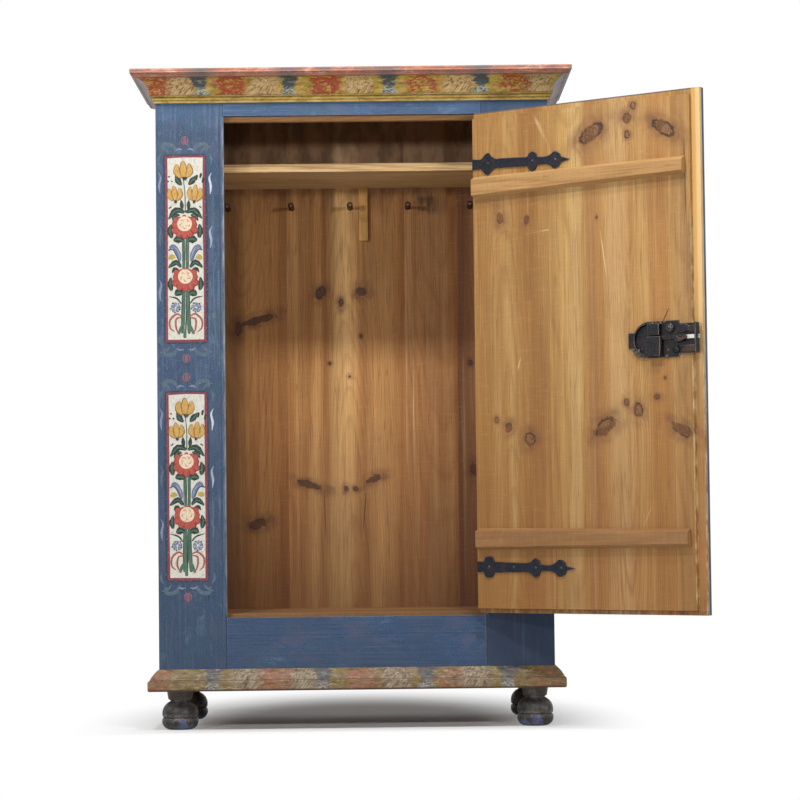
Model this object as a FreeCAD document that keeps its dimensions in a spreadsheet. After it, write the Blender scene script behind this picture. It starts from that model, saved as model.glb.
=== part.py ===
import FreeCAD, Part
import math
import os
import Sketcher

# Painted softwood cupboard with one door, a hat shelf and clothes pegs.
# Frame: millimetres, +Z up, origin on the floor under the middle of the case's front face.
# +Y runs to the back. The door is drawn closed and then swung open about its hinge pins.

doc = FreeCAD.newDocument("painted_cupboard")
sheet = doc.addObject("Spreadsheet::Sheet", "Sizes")

sizes = {
    # case and front frame
    "body_width": 1064,
    "body_depth": 480,
    "frame_stock": 24,
    "side_stock": 24,
    "back_stock": 18,
    "back_rebate": 10,
    "top_stock": 22,
    "floor_stock": 24,
    "floor_rise": 9,
    "stile_width": 184,
    "bottom_rail_show": 137,
    "opening_height": 1358,
    "frieze_show": 36,
    "tenon_length": 50,
    "tenon_stock": 8,
    "tenon_shoulder": 18,
    "tenon_end_room": 4,
    # mouldings
    "cornice_height": 85,
    "cornice_out": 64,
    "plinth_height": 58,
    "plinth_out": 30,
    # inside fittings
    "floor_cleat_stock": 24,
    "floor_cleat_height": 32,
    "shelf_drop": 119,
    "shelf_stock": 22,
    "shelf_setback": 100,
    "shelf_cleat_stock": 20,
    "shelf_cleat_height": 30,
    "shelf_cleat_setback": 20,
    "prop_width": 25,
    "prop_length": 154,
    "prop_stock": 14,
    "prop_shift": 26,
    "stop_drop": 13,
    "stop_height": 45,
    "stop_stock": 20,
    "stop_overlap": 30,
    "peg_drop": 57,
    "peg_reach": 74,
    "peg_radius": 5.5,
    "peg_head_radius": 8.5,
    "peg_collar_radius": 8,
    "peg_tenon": 14,
    "peg_fit": 0.1,
    # underframe and feet
    "runner_width": 100,
    "runner_height": 57,
    "base_rail_stock": 22,
    "base_rail_height": 50,
    "base_rail_drop": 3,
    "foot_height": 105,
    "foot_radius": 48.5,
    "foot_neck_radius": 36,
    "foot_throat_radius": 27,
    "foot_tenon_radius": 16,
    "foot_tenon_length": 42,
    "foot_fit": 0.1,
    "foot_inset_side": 52,
    "foot_inset_front": 50,
    "foot_inset_back": 62,
    # door
    "door_open_angle": 144.4,
    "door_gap_hinge": 2.5,
    "door_gap_lock": 2.5,
    "door_gap_top": 5.5,
    "door_gap_bottom": 7,
    "door_recess": 3,
    "stop_clearance": 0.5,
    "rebate_depth": 8,
    "rebate_top": 16,
    "rebate_bottom": 12,
    "rebate_lock": 26,
    "door_last_width": 82,
    # battens
    "batten_start": 5,
    "batten_end_room": 41,
    "batten_wide": 58,
    "batten_narrow": 46,
    "batten_proud": 18,
    "batten_bevel": 8,
    "batten_tongue": 8,
    "batten_tongue_inset": 10,
    "batten_dovetail": 4,
    "upper_batten_gap": 6,
    "lower_batten_gap": 17,
    "upper_batten_lift": 7,
    # strap hinges and pintles
    "strap_width": 28,
    "strap_stock": 3.5,
    "strap_web_room": 0.5,
    "strap_tilt_upper": 2,
    "strap_tilt_lower": 0.8,
    "upper_strap_drop": 140.5,
    "lower_strap_rise": 123,
    "eye_radius": 6,
    "eye_stand_off": 0.5,
    "pin_radius": 3.25,
    "pin_fit": 0.08,
    "pin_top": 4,
    "pin_inset": 1,
    "lug_height": 11,
    "lug_clearance": 0.3,
    "pintle_plate_gap": 10,
    "pintle_plate_width": 46,
    "pintle_plate_height": 62,
    "pintle_plate_stock": 3,
    "nail_shank_radius": 1.6,
    "nail_shank_length": 14,
    "nail_head_radius": 4.6,
    "nail_head_height": 2.4,
    # lock
    "lock_end_room": 7,
    "lock_body_length": 88,
    "lock_body_height": 94,
    "lock_fore_length": 57,
    "lock_fore_height": 77,
    "lock_plate_stock": 3,
    "lock_flange_stock": 3,
    "lock_flange_height": 18,
    "lock_ear_length": 14,
    "lock_ear_height": 40,
    "bolt_length": 136,
    "bolt_height": 10,
    "bolt_stock": 6,
    "bolt_rise": 3,
    "bolt_tip": 3,
    "bolt_clearance": 0.4,
    "bolt_talon_length": 12,
    "bolt_talon_drop": 11,
    "bolt_talon_place": 14,
    "bridge_width": 40,
    "bridge_height": 50,
    "bridge_drop": 43,
    "bridge_clear": 12,
    "bridge_stock": 3,
    "bridge_foot_height": 27,
    "tumbler_width": 33,
    "tumbler_height": 30,
    "tumbler_depth": 14,
    "tumbler_rise": 3,
    "spring_radius": 41,
    "spring_stock": 1.6,
    "spring_depth": 9,
    "spring_sweep": 160,
    "spring_start": 10,
    "key_hole_radius": 6,
    "key_drop": 24,
    "escutcheon_width": 34,
    "escutcheon_height": 58,
    "escutcheon_stock": 1.5,
    "keeper_gap": 4,
    "keeper_width": 30,
    "keeper_height": 40,
    "keeper_clearance": 0.6,
    # how far a cutting shape runs past the piece it cuts
    "overrun": 2,
}

for row, (alias, number) in enumerate(sizes.items(), start=1):
    sheet.set(f"A{row}", alias)
    sheet.set(f"B{row}", str(number))
    sheet.setAlias(f"B{row}", alias)
doc.recompute()


class Dim:
    """A length that carries its spreadsheet formula together with its present value."""

    def __init__(self, formula, value):
        self.formula = formula
        self.value = value

    def join(self, sign, other, value):
        return Dim(f"({self.formula} {sign} {as_dim(other).formula})", value)

    def __add__(self, other):
        return self.join("+", other, self.value + as_dim(other).value)

    def __sub__(self, other):
        return self.join("-", other, self.value - as_dim(other).value)

    def __mul__(self, other):
        return self.join("*", other, self.value * as_dim(other).value)

    def __truediv__(self, other):
        return self.join("/", other, self.value / as_dim(other).value)

    def __neg__(self):
        return zero - self


def as_dim(number):
    return number if isinstance(number, Dim) else Dim(repr(number), number)


def size(alias):
    return Dim(f"Sizes.{alias}", float(getattr(sheet, alias)))


zero = as_dim(0)
finished = []


def bind(thing, prop, dim):
    thing.setExpression(prop, as_dim(dim).formula)


def place(thing, spot):
    for letter, dim in zip("xyz", spot):
        bind(thing, f"Placement.Base.{letter}", dim)


def turn(thing, axis, angle):
    thing.Placement = FreeCAD.Placement(FreeCAD.Vector(), FreeCAD.Rotation(axis, angle))


def box(name, low, high):
    """A board between two corners."""
    board = doc.addObject("Part::Box", name)
    for prop, start, stop in zip(("Length", "Width", "Height"), low, high):
        bind(board, prop, as_dim(stop) - start)
    place(board, low)
    return board


def cylinder(name, radius, height, spot, axis=None, angle=0):
    """A round bar that stands on spot, or is turned about axis by angle."""
    bar = doc.addObject("Part::Cylinder", name)
    bind(bar, "Radius", radius)
    bind(bar, "Height", height)
    if axis is not None:
        turn(bar, axis, angle)
    place(bar, spot)
    return bar


def group(kind, name, pieces):
    joined = doc.addObject(kind, name)
    if kind == "Part::Compound":
        joined.Links = pieces
    else:
        joined.Shapes = pieces
    return joined


def fuse(name, pieces):
    joined = group("Part::MultiFuse", name, pieces)
    joined.Refine = True
    return joined


def cut(name, base, tools):
    carved = doc.addObject("Part::Cut", name)
    carved.Base = base
    carved.Tool = tools[0] if len(tools) == 1 else group("Part::MultiFuse", f"{name}_tools", tools)
    return carved


def solid(name, shape):
    feature = doc.addObject("Part::Feature", name)
    feature.Shape = shape
    return feature


def finish(thing, label, swung=False):
    """Names a finished piece and, for a piece of the door, swings it open about the hinge pins."""
    thing.Label = label
    if swung:
        thing.Placement = door_swing.multiply(thing.Placement)
    finished.append(thing)
    return thing


def middle_of_arc(start, stop, bulge):
    """The middle of an arc whose rise is a share of its chord, to the left of the way it runs."""
    run = stop - start
    return (start + stop) * (1 / 2) + FreeCAD.Vector(-run.y, run.x, 0) * bulge


def flat_edge(start, stop, bulge):
    if bulge == 0:
        return Part.LineSegment(start, stop)
    return Part.ArcOfCircle(start, middle_of_arc(start, stop, bulge), stop)


def pin_down(sketch, edge, end, axis, dim):
    """Holds one coordinate of a sketch point to a formula."""
    if dim is zero:
        sketch.addConstraint(Sketcher.Constraint("PointOnObject", edge, end, -2 if axis == "X" else -1))
        return
    rule = Sketcher.Constraint(f"Distance{axis}", -1, 1, edge, end, dim.value)
    bind(sketch, f"Constraints[{sketch.addConstraint(rule)}]", dim)


def outline(body, role, corners, offset=None):
    """A closed sketch on one of the body's own planes. Each corner is x, y and the rise of its edge."""
    sketch = body.newObject("Sketcher::SketchObject", f"{body.Name}_outline")
    plane = [feature for feature in body.Origin.OriginFeatures if feature.Role == role][0]
    sketch.AttachmentSupport = [(plane, "")]
    sketch.MapMode = "FlatFace"
    if offset is not None:
        bind(sketch, "AttachmentOffset.Base.z", offset)
    spots = [FreeCAD.Vector(x.value, y.value, 0) for x, y, bulge in corners]
    starts = []
    for edge, (x, y, bulge) in enumerate(corners):
        after = spots[(edge + 1) % len(corners)]
        sketch.addGeometry(flat_edge(spots[edge], after, bulge))
        first_end = sketch.getPoint(edge, 1)
        starts.append(1 if (first_end - spots[edge]).Length < (first_end - after).Length else 2)
    for edge, (x, y, bulge) in enumerate(corners):
        after = (edge + 1) % len(corners)
        next_x, next_y, next_bulge = corners[after]
        far_end = 3 - starts[edge]
        sketch.addConstraint(Sketcher.Constraint("Coincident", edge, far_end, after, starts[after]))
        pin_down(sketch, edge, starts[edge], "X", x)
        pin_down(sketch, edge, starts[edge], "Y", y)
        if bulge:
            run_x = next_x - x
            run_y = next_y - y
            chord = f"sqrt({(run_x * run_x + run_y * run_y).formula})"
            radius_share = (1 / 4 + bulge * bulge) / (2 * abs(bulge))
            length = math.hypot(run_x.value, run_y.value) * radius_share
            rule = sketch.addConstraint(Sketcher.Constraint("Radius", edge, length))
            sketch.setExpression(f"Constraints[{rule}]", f"{chord} * {radius_share!r}")
    return sketch


def new_body(name):
    return doc.addObject("PartDesign::Body", name)


def pad(body, sketch, length):
    feature = body.newObject("PartDesign::Pad", f"{body.Name}_pad")
    feature.Profile = sketch
    bind(feature, "Length", length)
    return feature


def pocket_up(body, sketch, length):
    """Cuts upwards from a sketch that lies below the solid, and stops if nothing was cut away."""
    doc.recompute()
    before = body.Shape.Volume
    feature = body.newObject("PartDesign::Pocket", f"{body.Name}_pocket")
    feature.Profile = sketch
    feature.Reversed = True
    bind(feature, "Length", length)
    doc.recompute()
    if body.Shape.Volume >= before:
        raise RuntimeError(f"{body.Name}: the pocket cut nothing")


def revolve(body, sketch):
    feature = body.newObject("PartDesign::Revolution", f"{body.Name}_turning")
    feature.Profile = sketch
    feature.ReferenceAxis = (sketch, ["V_Axis"])
    feature.Angle = 360
    return feature


# Levels and edges that many pieces share
half_width = size("body_width") / 2
inner_half = half_width - size("side_stock")
depth = size("body_depth")
frame_back = size("frame_stock")
back_face = depth - size("back_stock")
plinth_foot = size("foot_height")
plinth_top = plinth_foot + size("plinth_height")
opening_foot = plinth_top + size("bottom_rail_show")
opening_head = opening_foot + size("opening_height")
cornice_foot = opening_head + size("frieze_show")
top_level = cornice_foot + size("cornice_height")
case_head = top_level - size("top_stock")
opening_half = half_width - size("stile_width")
overrun = size("overrun")

# The door, closed: it runs from its hinge edge towards -X
pivot_x = opening_half - size("pin_inset")
pivot_y = -(size("eye_radius") + size("eye_stand_off"))
hinge_edge = opening_half - size("door_gap_hinge")
lock_edge = -opening_half + size("door_gap_lock")
leaf_foot = opening_foot + size("door_gap_bottom")
leaf_head = opening_head - size("door_gap_top")
leaf_front = size("door_recess")
lip_back = frame_back - size("stop_clearance")
leaf_back = lip_back + size("rebate_depth")
door_swing = FreeCAD.Placement(
    FreeCAD.Vector(),
    FreeCAD.Rotation(FreeCAD.Vector(0, 0, 1), sheet.door_open_angle),
    FreeCAD.Vector(pivot_x.value, pivot_y.value, 0),
)
x_axis = FreeCAD.Vector(1, 0, 0)


# Side boards, with a rebate at the back for the back boards
def side_board(label, side):
    outer = half_width * side
    inner = inner_half * side
    rebate = (inner_half + size("back_rebate")) * side
    low_x, high_x = (inner, outer) if side > 0 else (outer, inner)
    blank = box(f"{label}_blank", (low_x, frame_back, plinth_foot), (high_x, depth, case_head))
    low_x, high_x = (inner - overrun, rebate) if side > 0 else (rebate, inner + overrun)
    bed = box(
        f"{label}_rebate",
        (low_x, back_face, plinth_foot - overrun),
        (high_x, depth + overrun, case_head + overrun),
    )
    finish(cut(f"{label}_cut", blank, [bed]), label)


side_board("side_board_left", -1)
side_board("side_board_right", 1)


# Front frame: rails with tenons, and stiles with the mortises that take them
tenon_front = (frame_back - size("tenon_stock")) / 2
tenon_back = tenon_front + size("tenon_stock")


def rail(label, foot, head):
    bar = box(f"{label}_bar", (-opening_half, zero, foot), (opening_half, frame_back, head))
    reach = opening_half + size("tenon_length")
    low = foot + size("tenon_shoulder")
    high = head - size("tenon_shoulder")
    tongue = box(f"{label}_tenons", (-reach, tenon_front, low), (reach, tenon_back, high))
    finish(fuse(f"{label}_joined", [bar, tongue]), label)


def stile(label, side):
    low_x, high_x = (opening_half, half_width) if side > 0 else (-half_width, -opening_half)
    blank = box(f"{label}_blank", (low_x, zero, plinth_foot), (high_x, frame_back, case_head))
    reach = opening_half + size("tenon_length") + size("tenon_end_room")
    mouth = opening_half - overrun
    low_x, high_x = (mouth, reach) if side > 0 else (-reach, -mouth)
    mortises = []
    for name, foot, head in (("lower", plinth_foot, opening_foot), ("upper", opening_head, case_head)):
        low = foot + size("tenon_shoulder")
        high = head - size("tenon_shoulder")
        corner = (low_x, tenon_front, low)
        mortises.append(box(f"{label}_{name}_mortise", corner, (high_x, tenon_back, high)))
    finish(cut(f"{label}_cut", blank, mortises), label)


rail("bottom_rail", plinth_foot, opening_foot)
rail("frieze_rail", opening_head, case_head)
stile("front_stile_left", -1)
stile("front_stile_right", 1)


# Top, floor and their bearers
floor_top = opening_foot + size("floor_rise")
floor_under = floor_top - size("floor_stock")
finish(box("top", (-half_width, zero, case_head), (half_width, depth, top_level)), "top_board")
floor = box("floor", (-inner_half, frame_back, floor_under), (inner_half, back_face, floor_top))
finish(floor, "floor_board")


def cleat(label, side, stock, front, head, height):
    inner = inner_half - stock
    low_x, high_x = (inner, inner_half) if side > 0 else (-inner_half, -inner)
    finish(box(f"{label}_bar", (low_x, front, head - height), (high_x, back_face, head)), label)


for word, side in (("left", -1), ("right", 1)):
    stock = size("floor_cleat_stock")
    cleat(f"floor_cleat_{word}", side, stock, frame_back, floor_under, size("floor_cleat_height"))


# Hat shelf, its bearers and its prop
shelf_top = opening_head - size("shelf_drop")
shelf_under = shelf_top - size("shelf_stock")
shelf_front = size("shelf_setback")
shelf = box("shelf", (-inner_half, shelf_front, shelf_under), (inner_half, back_face, shelf_top))
finish(shelf, "hat_shelf")
for word, side in (("left", -1), ("right", 1)):
    front = shelf_front + size("shelf_cleat_setback")
    stock = size("shelf_cleat_stock")
    cleat(f"shelf_cleat_{word}", side, stock, front, shelf_under, size("shelf_cleat_height"))
prop_left = size("prop_shift") - size("prop_width") / 2
prop_foot = shelf_under - size("prop_length")
prop = box(
    "prop",
    (prop_left, back_face - size("prop_stock"), prop_foot),
    (prop_left + size("prop_width"), back_face, shelf_under),
)
finish(prop, "shelf_prop")

# Strip behind the frieze rail that the door's lip closes against
stop_half = opening_half + size("stop_overlap")
stop_foot = opening_head - size("stop_drop")
stop = box(
    "stop",
    (-stop_half, frame_back, stop_foot),
    (stop_half, frame_back + size("stop_stock"), stop_foot + size("stop_height")),
)
finish(stop, "door_stop_strip")


# Clothes pegs: turned, with a waisted shaft, and plugged into the back boards
peg_place_shares = (-0.3578, -0.1779, -0.0118, 0.1517, 0.3273)
peg_level = shelf_under - size("peg_drop")
peg_spots = [(inner_half + inner_half) * share for share in peg_place_shares]
peg_profile_shares = {"crown": 0.35, "head": 0.9, "neck": 0.82, "collar": 0.1}
peg_bulge_shares = {"crown": 0.2, "head": 0.1, "shaft": -0.02}


def clothes_peg(name, x):
    body = new_body(name)
    reach = size("peg_reach")
    head = size("peg_head_radius")
    shaft = size("peg_radius")
    collar = size("peg_collar_radius")
    tenon = size("peg_tenon")
    profile = [
        (zero, reach, 0),
        (head * peg_profile_shares["crown"], reach, peg_bulge_shares["crown"]),
        (head, reach * peg_profile_shares["head"], peg_bulge_shares["head"]),
        (shaft, reach * peg_profile_shares["neck"], peg_bulge_shares["shaft"]),
        (shaft, reach * peg_profile_shares["collar"], 0),
        (collar, zero, 0),
        (shaft, zero, 0),
        (shaft, -tenon, 0),
        (zero, -tenon, 0),
    ]
    revolve(body, outline(body, "XZ_Plane", profile))
    turn(body, x_axis, 90)
    place(body, (x, back_face, peg_level))
    return body


pegs = [clothes_peg(f"peg_{number}", x) for number, x in enumerate(peg_spots, start=1)]
finish(group("Part::Compound", "pegs", pegs), "clothes_pegs")


# Back boards between the two rebates, bored for the pegs that stand in them
back_half = inner_half + size("back_rebate")
back_seam_shares = (-0.1929, 0.1407, 0.2874)
back_seams = [-back_half]
back_seams += [(inner_half + inner_half) * share for share in back_seam_shares]
back_seams += [back_half]
for number in range(1, len(back_seams)):
    label = f"back_board_{number}"
    left = back_seams[number - 1]
    right = back_seams[number]
    board = box(f"{label}_blank", (left, back_face, plinth_foot), (right, depth, case_head))
    bores = []
    for x in peg_spots:
        if left.value < x.value < right.value:
            radius = size("peg_radius") + size("peg_fit")
            spot = (x, back_face - overrun, peg_level)
            length = size("peg_tenon") + overrun + overrun
            bores.append(cylinder(f"{label}_bore", radius, length, spot, x_axis, -90))
    finish(cut(f"{label}_cut", board, bores) if bores else board, label)


# Mouldings: a profile that stands out towards -Y and runs along +X, mitred at its ends
cornice_shares = (
    (0, 0, 0),
    (0.08, 0, 0),
    (0.08, 0.075, 0.48),
    (0.08, 0.18, 0),
    (0.2, 0.18, 0),
    (0.2, 0.225, 0),
    (0.235, 0.225, -0.19),
    (0.78, 0.74, 0),
    (0.83, 0.74, 0.18),
    (0.92, 0.87, 0),
    (1, 0.87, 0),
    (1, 1, 0),
    (0, 1, 0),
)
plinth_shares = (
    (0, 0, 0),
    (0.8, 0, 0.16),
    (0.97, 0.07, 0.02),
    (0.97, 0.42, 0.14),
    (0.9, 0.48, 0),
    (0.8, 0.48, 0),
    (0.8, 0.526, 0.06),
    (0.06, 1, 0),
    (0, 1, 0),
)


def moulding(label, shares, out, height, length, mitre_start, mitre_end, angle, spot):
    body = new_body(label)
    profile = []
    for out_share, rise_share, bulge in shares:
        y = -(out * out_share) if out_share else zero
        z = height * rise_share if rise_share else zero
        profile.append((y, z, bulge))
    start = -out if mitre_start else zero
    run = length + out if mitre_end else length
    pad(body, outline(body, "YZ_Plane", profile, offset=start), run - start)
    tip = out + overrun
    if mitre_start:
        corners = [(overrun, overrun, 0), (-tip, overrun, 0), (-tip, -tip, 0)]
        pocket_up(body, outline(body, "XY_Plane", corners, offset=-overrun), height + overrun + overrun)
    if mitre_end:
        far = length + tip
        corners = [(length - overrun, overrun, 0), (far, -tip, 0), (far, overrun, 0)]
        pocket_up(body, outline(body, "XY_Plane", corners, offset=-overrun), height + overrun + overrun)
    turn(body, FreeCAD.Vector(0, 0, 1), angle)
    place(body, spot)
    finish(body, label)


moulding_kinds = (("cornice", cornice_shares, cornice_foot), ("plinth", plinth_shares, plinth_foot))
for name, shares, foot in moulding_kinds:
    out = size(f"{name}_out")
    height = size(f"{name}_height")
    front_left = (-half_width, zero, foot)
    front_right = (half_width, zero, foot)
    back_left = (-half_width, depth, foot)
    moulding(f"{name}_front", shares, out, height, size("body_width"), True, True, 0, front_left)
    moulding(f"{name}_left", shares, out, height, depth, False, True, -90, back_left)
    moulding(f"{name}_right", shares, out, height, depth, True, False, 90, front_right)


# Underframe: a runner along each side takes the feet, and a rail joins them at the front
foot_x = half_width - size("foot_inset_side")
foot_front_y = size("foot_inset_front")
foot_rear_y = depth - size("foot_inset_back")
socket_radius = size("foot_tenon_radius") + size("foot_fit")
for word, side in (("left", -1), ("right", 1)):
    label = f"base_runner_{word}"
    inner = inner_half - size("runner_width")
    low_x, high_x = (inner, inner_half) if side > 0 else (-inner_half, -inner)
    head = plinth_foot + size("runner_height")
    blank = box(f"{label}_blank", (low_x, frame_back, plinth_foot), (high_x, back_face, head))
    sockets = []
    for y in (foot_front_y, foot_rear_y):
        spot = (foot_x * side, y, plinth_foot - overrun)
        length = size("foot_tenon_length") + overrun + overrun
        sockets.append(cylinder(f"{label}_socket", socket_radius, length, spot))
    finish(cut(f"{label}_cut", blank, sockets), label)
rail_half = inner_half - size("runner_width")
rail_foot = plinth_foot - size("base_rail_drop")
base_rail = box(
    "base_rail",
    (-rail_half, frame_back, rail_foot),
    (rail_half, frame_back + size("base_rail_stock"), rail_foot + size("base_rail_height")),
)
finish(base_rail, "base_rail_front")

# Turned feet: a grooved bun under a throat and a tapered neck, with a tenon on top
foot_level_shares = {"neck": 0.775, "throat_top": 0.75, "throat": 0.72, "bun": 0.7, "groove": 0.31}
foot_groove_share = 0.017
foot_neck_taper_share = 0.89
foot_bun_shares = {"shoulder": 0.62, "waist": 0.975, "groove": 0.89, "tread": 0.65}
foot_bulge_shares = {"neck": 0.1, "throat": -0.1, "bun": 0.18, "tread": 0.235}


def foot(label, x, y):
    body = new_body(label)
    height = size("foot_height")
    radius = size("foot_radius")
    neck = size("foot_neck_radius")
    throat = size("foot_throat_radius")
    tenon = size("foot_tenon_radius")
    tenon_head = height + size("foot_tenon_length")
    groove = height * foot_level_shares["groove"]
    lip = height * foot_groove_share
    profile = [
        (zero, tenon_head, 0),
        (tenon, tenon_head, 0),
        (tenon, height, 0),
        (neck, height, 0),
        (neck * foot_neck_taper_share, height * foot_level_shares["neck"], foot_bulge_shares["neck"]),
        (throat, height * foot_level_shares["throat_top"], foot_bulge_shares["throat"]),
        (throat, height * foot_level_shares["throat"], 0),
        (radius * foot_bun_shares["shoulder"], height * foot_level_shares["bun"], foot_bulge_shares["bun"]),
        (radius * foot_bun_shares["waist"], groove + lip, 0),
        (radius * foot_bun_shares["groove"], groove, 0),
        (radius * foot_bun_shares["waist"], groove - lip, foot_bulge_shares["tread"]),
        (radius * foot_bun_shares["tread"], zero, 0),
        (zero, zero, 0),
    ]
    revolve(body, outline(body, "XZ_Plane", profile))
    place(body, (x, y, zero))
    finish(body, label)


for word, side in (("left", -1), ("right", 1)):
    foot(f"foot_front_{word}", foot_x * side, foot_front_y)
    foot(f"foot_rear_{word}", foot_x * side, foot_rear_y)


# Door battens: tapered, bevelled along both edges, with a dovetail tongue let into the boards
def batten(name, root_level, lift):
    body = new_body(name)
    start = hinge_edge - size("batten_start")
    proud = leaf_back + size("batten_proud")
    bed = leaf_back - size("batten_tongue")
    ends = (
        (size("batten_wide"), start, root_level),
        (size("batten_narrow"), lock_edge + size("batten_end_room"), root_level + lift),
    )
    sections = []
    for width, x, level in ends:
        half = width / 2
        crest = half - size("batten_bevel")
        neck = half - size("batten_tongue_inset")
        root = neck + size("batten_dovetail")
        corners = [
            (bed, level - root, 0),
            (leaf_back, level - neck, 0),
            (leaf_back, level - half, 0),
            (proud, level - crest, 0),
            (proud, level + crest, 0),
            (leaf_back, level + half, 0),
            (leaf_back, level + neck, 0),
            (bed, level + root, 0),
        ]
        sections.append(outline(body, "YZ_Plane", corners, offset=x))
    loft = body.newObject("PartDesign::AdditiveLoft", f"{name}_loft")
    loft.Profile = sections[0]
    loft.Sections = [(sections[1], [""])]
    loft.Ruled = True
    return body


strap_levels = {
    "upper": leaf_head - size("upper_strap_drop"),
    "lower": leaf_foot + size("lower_strap_rise"),
}
strap_reach = size("strap_width") + size("batten_wide") / 2
batten_places = {
    "upper": (strap_levels["upper"] - strap_reach - size("upper_batten_gap"), size("upper_batten_lift")),
    "lower": (strap_levels["lower"] + strap_reach + size("lower_batten_gap"), zero),
}
for word, (level, lift) in batten_places.items():
    finish(batten(f"batten_{word}", level, lift), f"door_batten_{word}", swung=True)


# Door boards: edge to edge, rebated at the top, the foot and the lock side, grooved for the battens,
# notched on the hinge edge for the straps and bored for the keyhole
lock_height_share = 0.524
lock_level = leaf_foot + (leaf_head - leaf_foot) * lock_height_share
lock_end = lock_edge + size("lock_end_room")
lock_body_end = lock_end + size("lock_fore_length")
lock_round = lock_body_end + size("lock_body_length")
bridge_middle = lock_round - size("bridge_width") / 2
key_level = lock_level - size("key_drop")
web_high = pivot_x - size("eye_radius") + size("strap_stock")
web_low = pivot_x - size("eye_radius")

last_seam = lock_edge + size("door_last_width")
door_seam_shares = (0.3908, 0.5714)
door_seams = [hinge_edge]
door_seams += [hinge_edge - (hinge_edge - last_seam) * share for share in door_seam_shares]
door_seams += [last_seam, lock_edge]


def rebate_tools(name):
    past_hinge = hinge_edge + overrun
    past_lock = lock_edge - overrun
    past_back = leaf_back + overrun
    head = leaf_head - size("rebate_top")
    foot_line = leaf_foot + size("rebate_bottom")
    above = leaf_head + overrun
    below = leaf_foot - overrun
    return [
        box(f"{name}_top_rebate", (past_lock, lip_back, head), (past_hinge, past_back, above)),
        box(f"{name}_foot_rebate", (past_lock, lip_back, below), (past_hinge, past_back, foot_line)),
    ]


for number in range(1, len(door_seams)):
    name = f"door_board_{number}"
    high_x = door_seams[number - 1]
    low_x = door_seams[number]
    blank = box(f"{name}_blank", (low_x, leaf_front, leaf_foot), (high_x, leaf_back, leaf_head))
    tools = rebate_tools(name)
    for word, (level, lift) in batten_places.items():
        tools.append(batten(f"{name}_{word}_groove", level, lift))
    if number == 1:
        for word, level in strap_levels.items():
            half = size("strap_width") / 2 + size("strap_web_room")
            low = (web_low - size("strap_web_room"), leaf_front - overrun, level - half)
            high = (hinge_edge + overrun, leaf_back + overrun, level + half)
            tools.append(box(f"{name}_{word}_notch", low, high))
    if low_x.value < bridge_middle.value < high_x.value:
        spot = (bridge_middle, leaf_front - overrun, key_level)
        length = leaf_back - leaf_front + overrun + overrun
        tools.append(cylinder(f"{name}_keyhole", size("key_hole_radius"), length, spot, x_axis, -90))
    if number == len(door_seams) - 1:
        low = (lock_edge - overrun, lip_back, leaf_foot - overrun)
        high = (lock_edge + size("rebate_lock"), leaf_back + overrun, leaf_head + overrun)
        tools.append(box(f"{name}_lock_rebate", low, high))
    finish(cut(f"{name}_cut", blank, tools), name, swung=True)


# Strap hinges: a forged leaf with two lobed crosses and a leaf-shaped end, cranked round the hinge
# edge of the door to an eye in front of it. Each row is a share of the length, a share of half the
# width, and the rise of the edge that follows it.
strap_upper_shares = (
    (0, 1, 0),
    (0.085, 0.88, 0.02),
    (0.11, 1.2, 0.08),
    (0.145, 1.95, 0.2),
    (0.178, 1.95, -0.06),
    (0.21, 1.25, -0.12),
    (0.29, 0.92, 0),
    (0.565, 0.84, -0.05),
    (0.582, 1.2, 0.15),
    (0.608, 1.68, 0.22),
    (0.642, 1.68, 0.15),
    (0.664, 1.2, 0),
    (0.674, 0.74, 0),
    (0.735, 0.7, -0.12),
    (0.835, 1.5, 0.14),
    (0.885, 1.32, 0.16),
    (0.91, 0.62, -0.1),
    (0.935, 0.42, 0),
)
strap_lower_shares = (
    (0, 1, 0),
    (0.068, 0.95, 0),
    (0.076, 1.5, 0.2),
    (0.104, 1.92, 0.14),
    (0.142, 1.92, 0.2),
    (0.17, 1.5, 0),
    (0.178, 1.02, 0),
    (0.5, 0.82, -0.03),
    (0.562, 1.15, 0.12),
    (0.588, 1.65, 0.22),
    (0.62, 1.65, 0.16),
    (0.642, 1.2, 0),
    (0.652, 0.6, 0),
    (0.738, 0.52, -0.1),
    (0.828, 1.5, 0.16),
    (0.876, 1.34, 0.2),
    (0.906, 0.7, 0),
    (0.914, 0.34, 0),
)
strap_edge_shares = {"upper": strap_upper_shares, "lower": strap_lower_shares}


strap_length_share = 0.4428
strap_length = (hinge_edge - lock_edge) * strap_length_share


def strap_leaf(word, root_x, level, tilt):
    length = strap_length.value
    half = sheet.strap_width / 2
    upper = [(share * length, rise * half, bulge) for share, rise, bulge in strap_edge_shares[word]]
    tip = [(length, 0, 0)]
    lower = []
    for step in range(len(upper) - 1, -1, -1):
        run, rise, own_bulge = upper[step]
        bulge = upper[step - 1][2] if step else 0
        lower.append((run, -rise, bulge))
    corners = upper[:-1] + [(upper[-1][0], upper[-1][1], 0)] + tip + lower
    spots = [FreeCAD.Vector(-run, rise, 0) for run, rise, bulge in corners]
    edges = []
    for step, (run, rise, bulge) in enumerate(corners):
        after = spots[(step + 1) % len(spots)]
        edges.append(flat_edge(spots[step], after, -bulge).toShape())
    face = Part.Face(Part.Wire(edges))
    leaf = face.extrude(FreeCAD.Vector(0, 0, -sheet.strap_stock))
    stand = FreeCAD.Rotation(x_axis, 90)
    lean = FreeCAD.Rotation(FreeCAD.Vector(0, 1, 0), -tilt)
    spot = FreeCAD.Vector(root_x, leaf_back.value, level)
    leaf.Placement = FreeCAD.Placement(spot, lean.multiply(stand))
    return leaf


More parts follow.
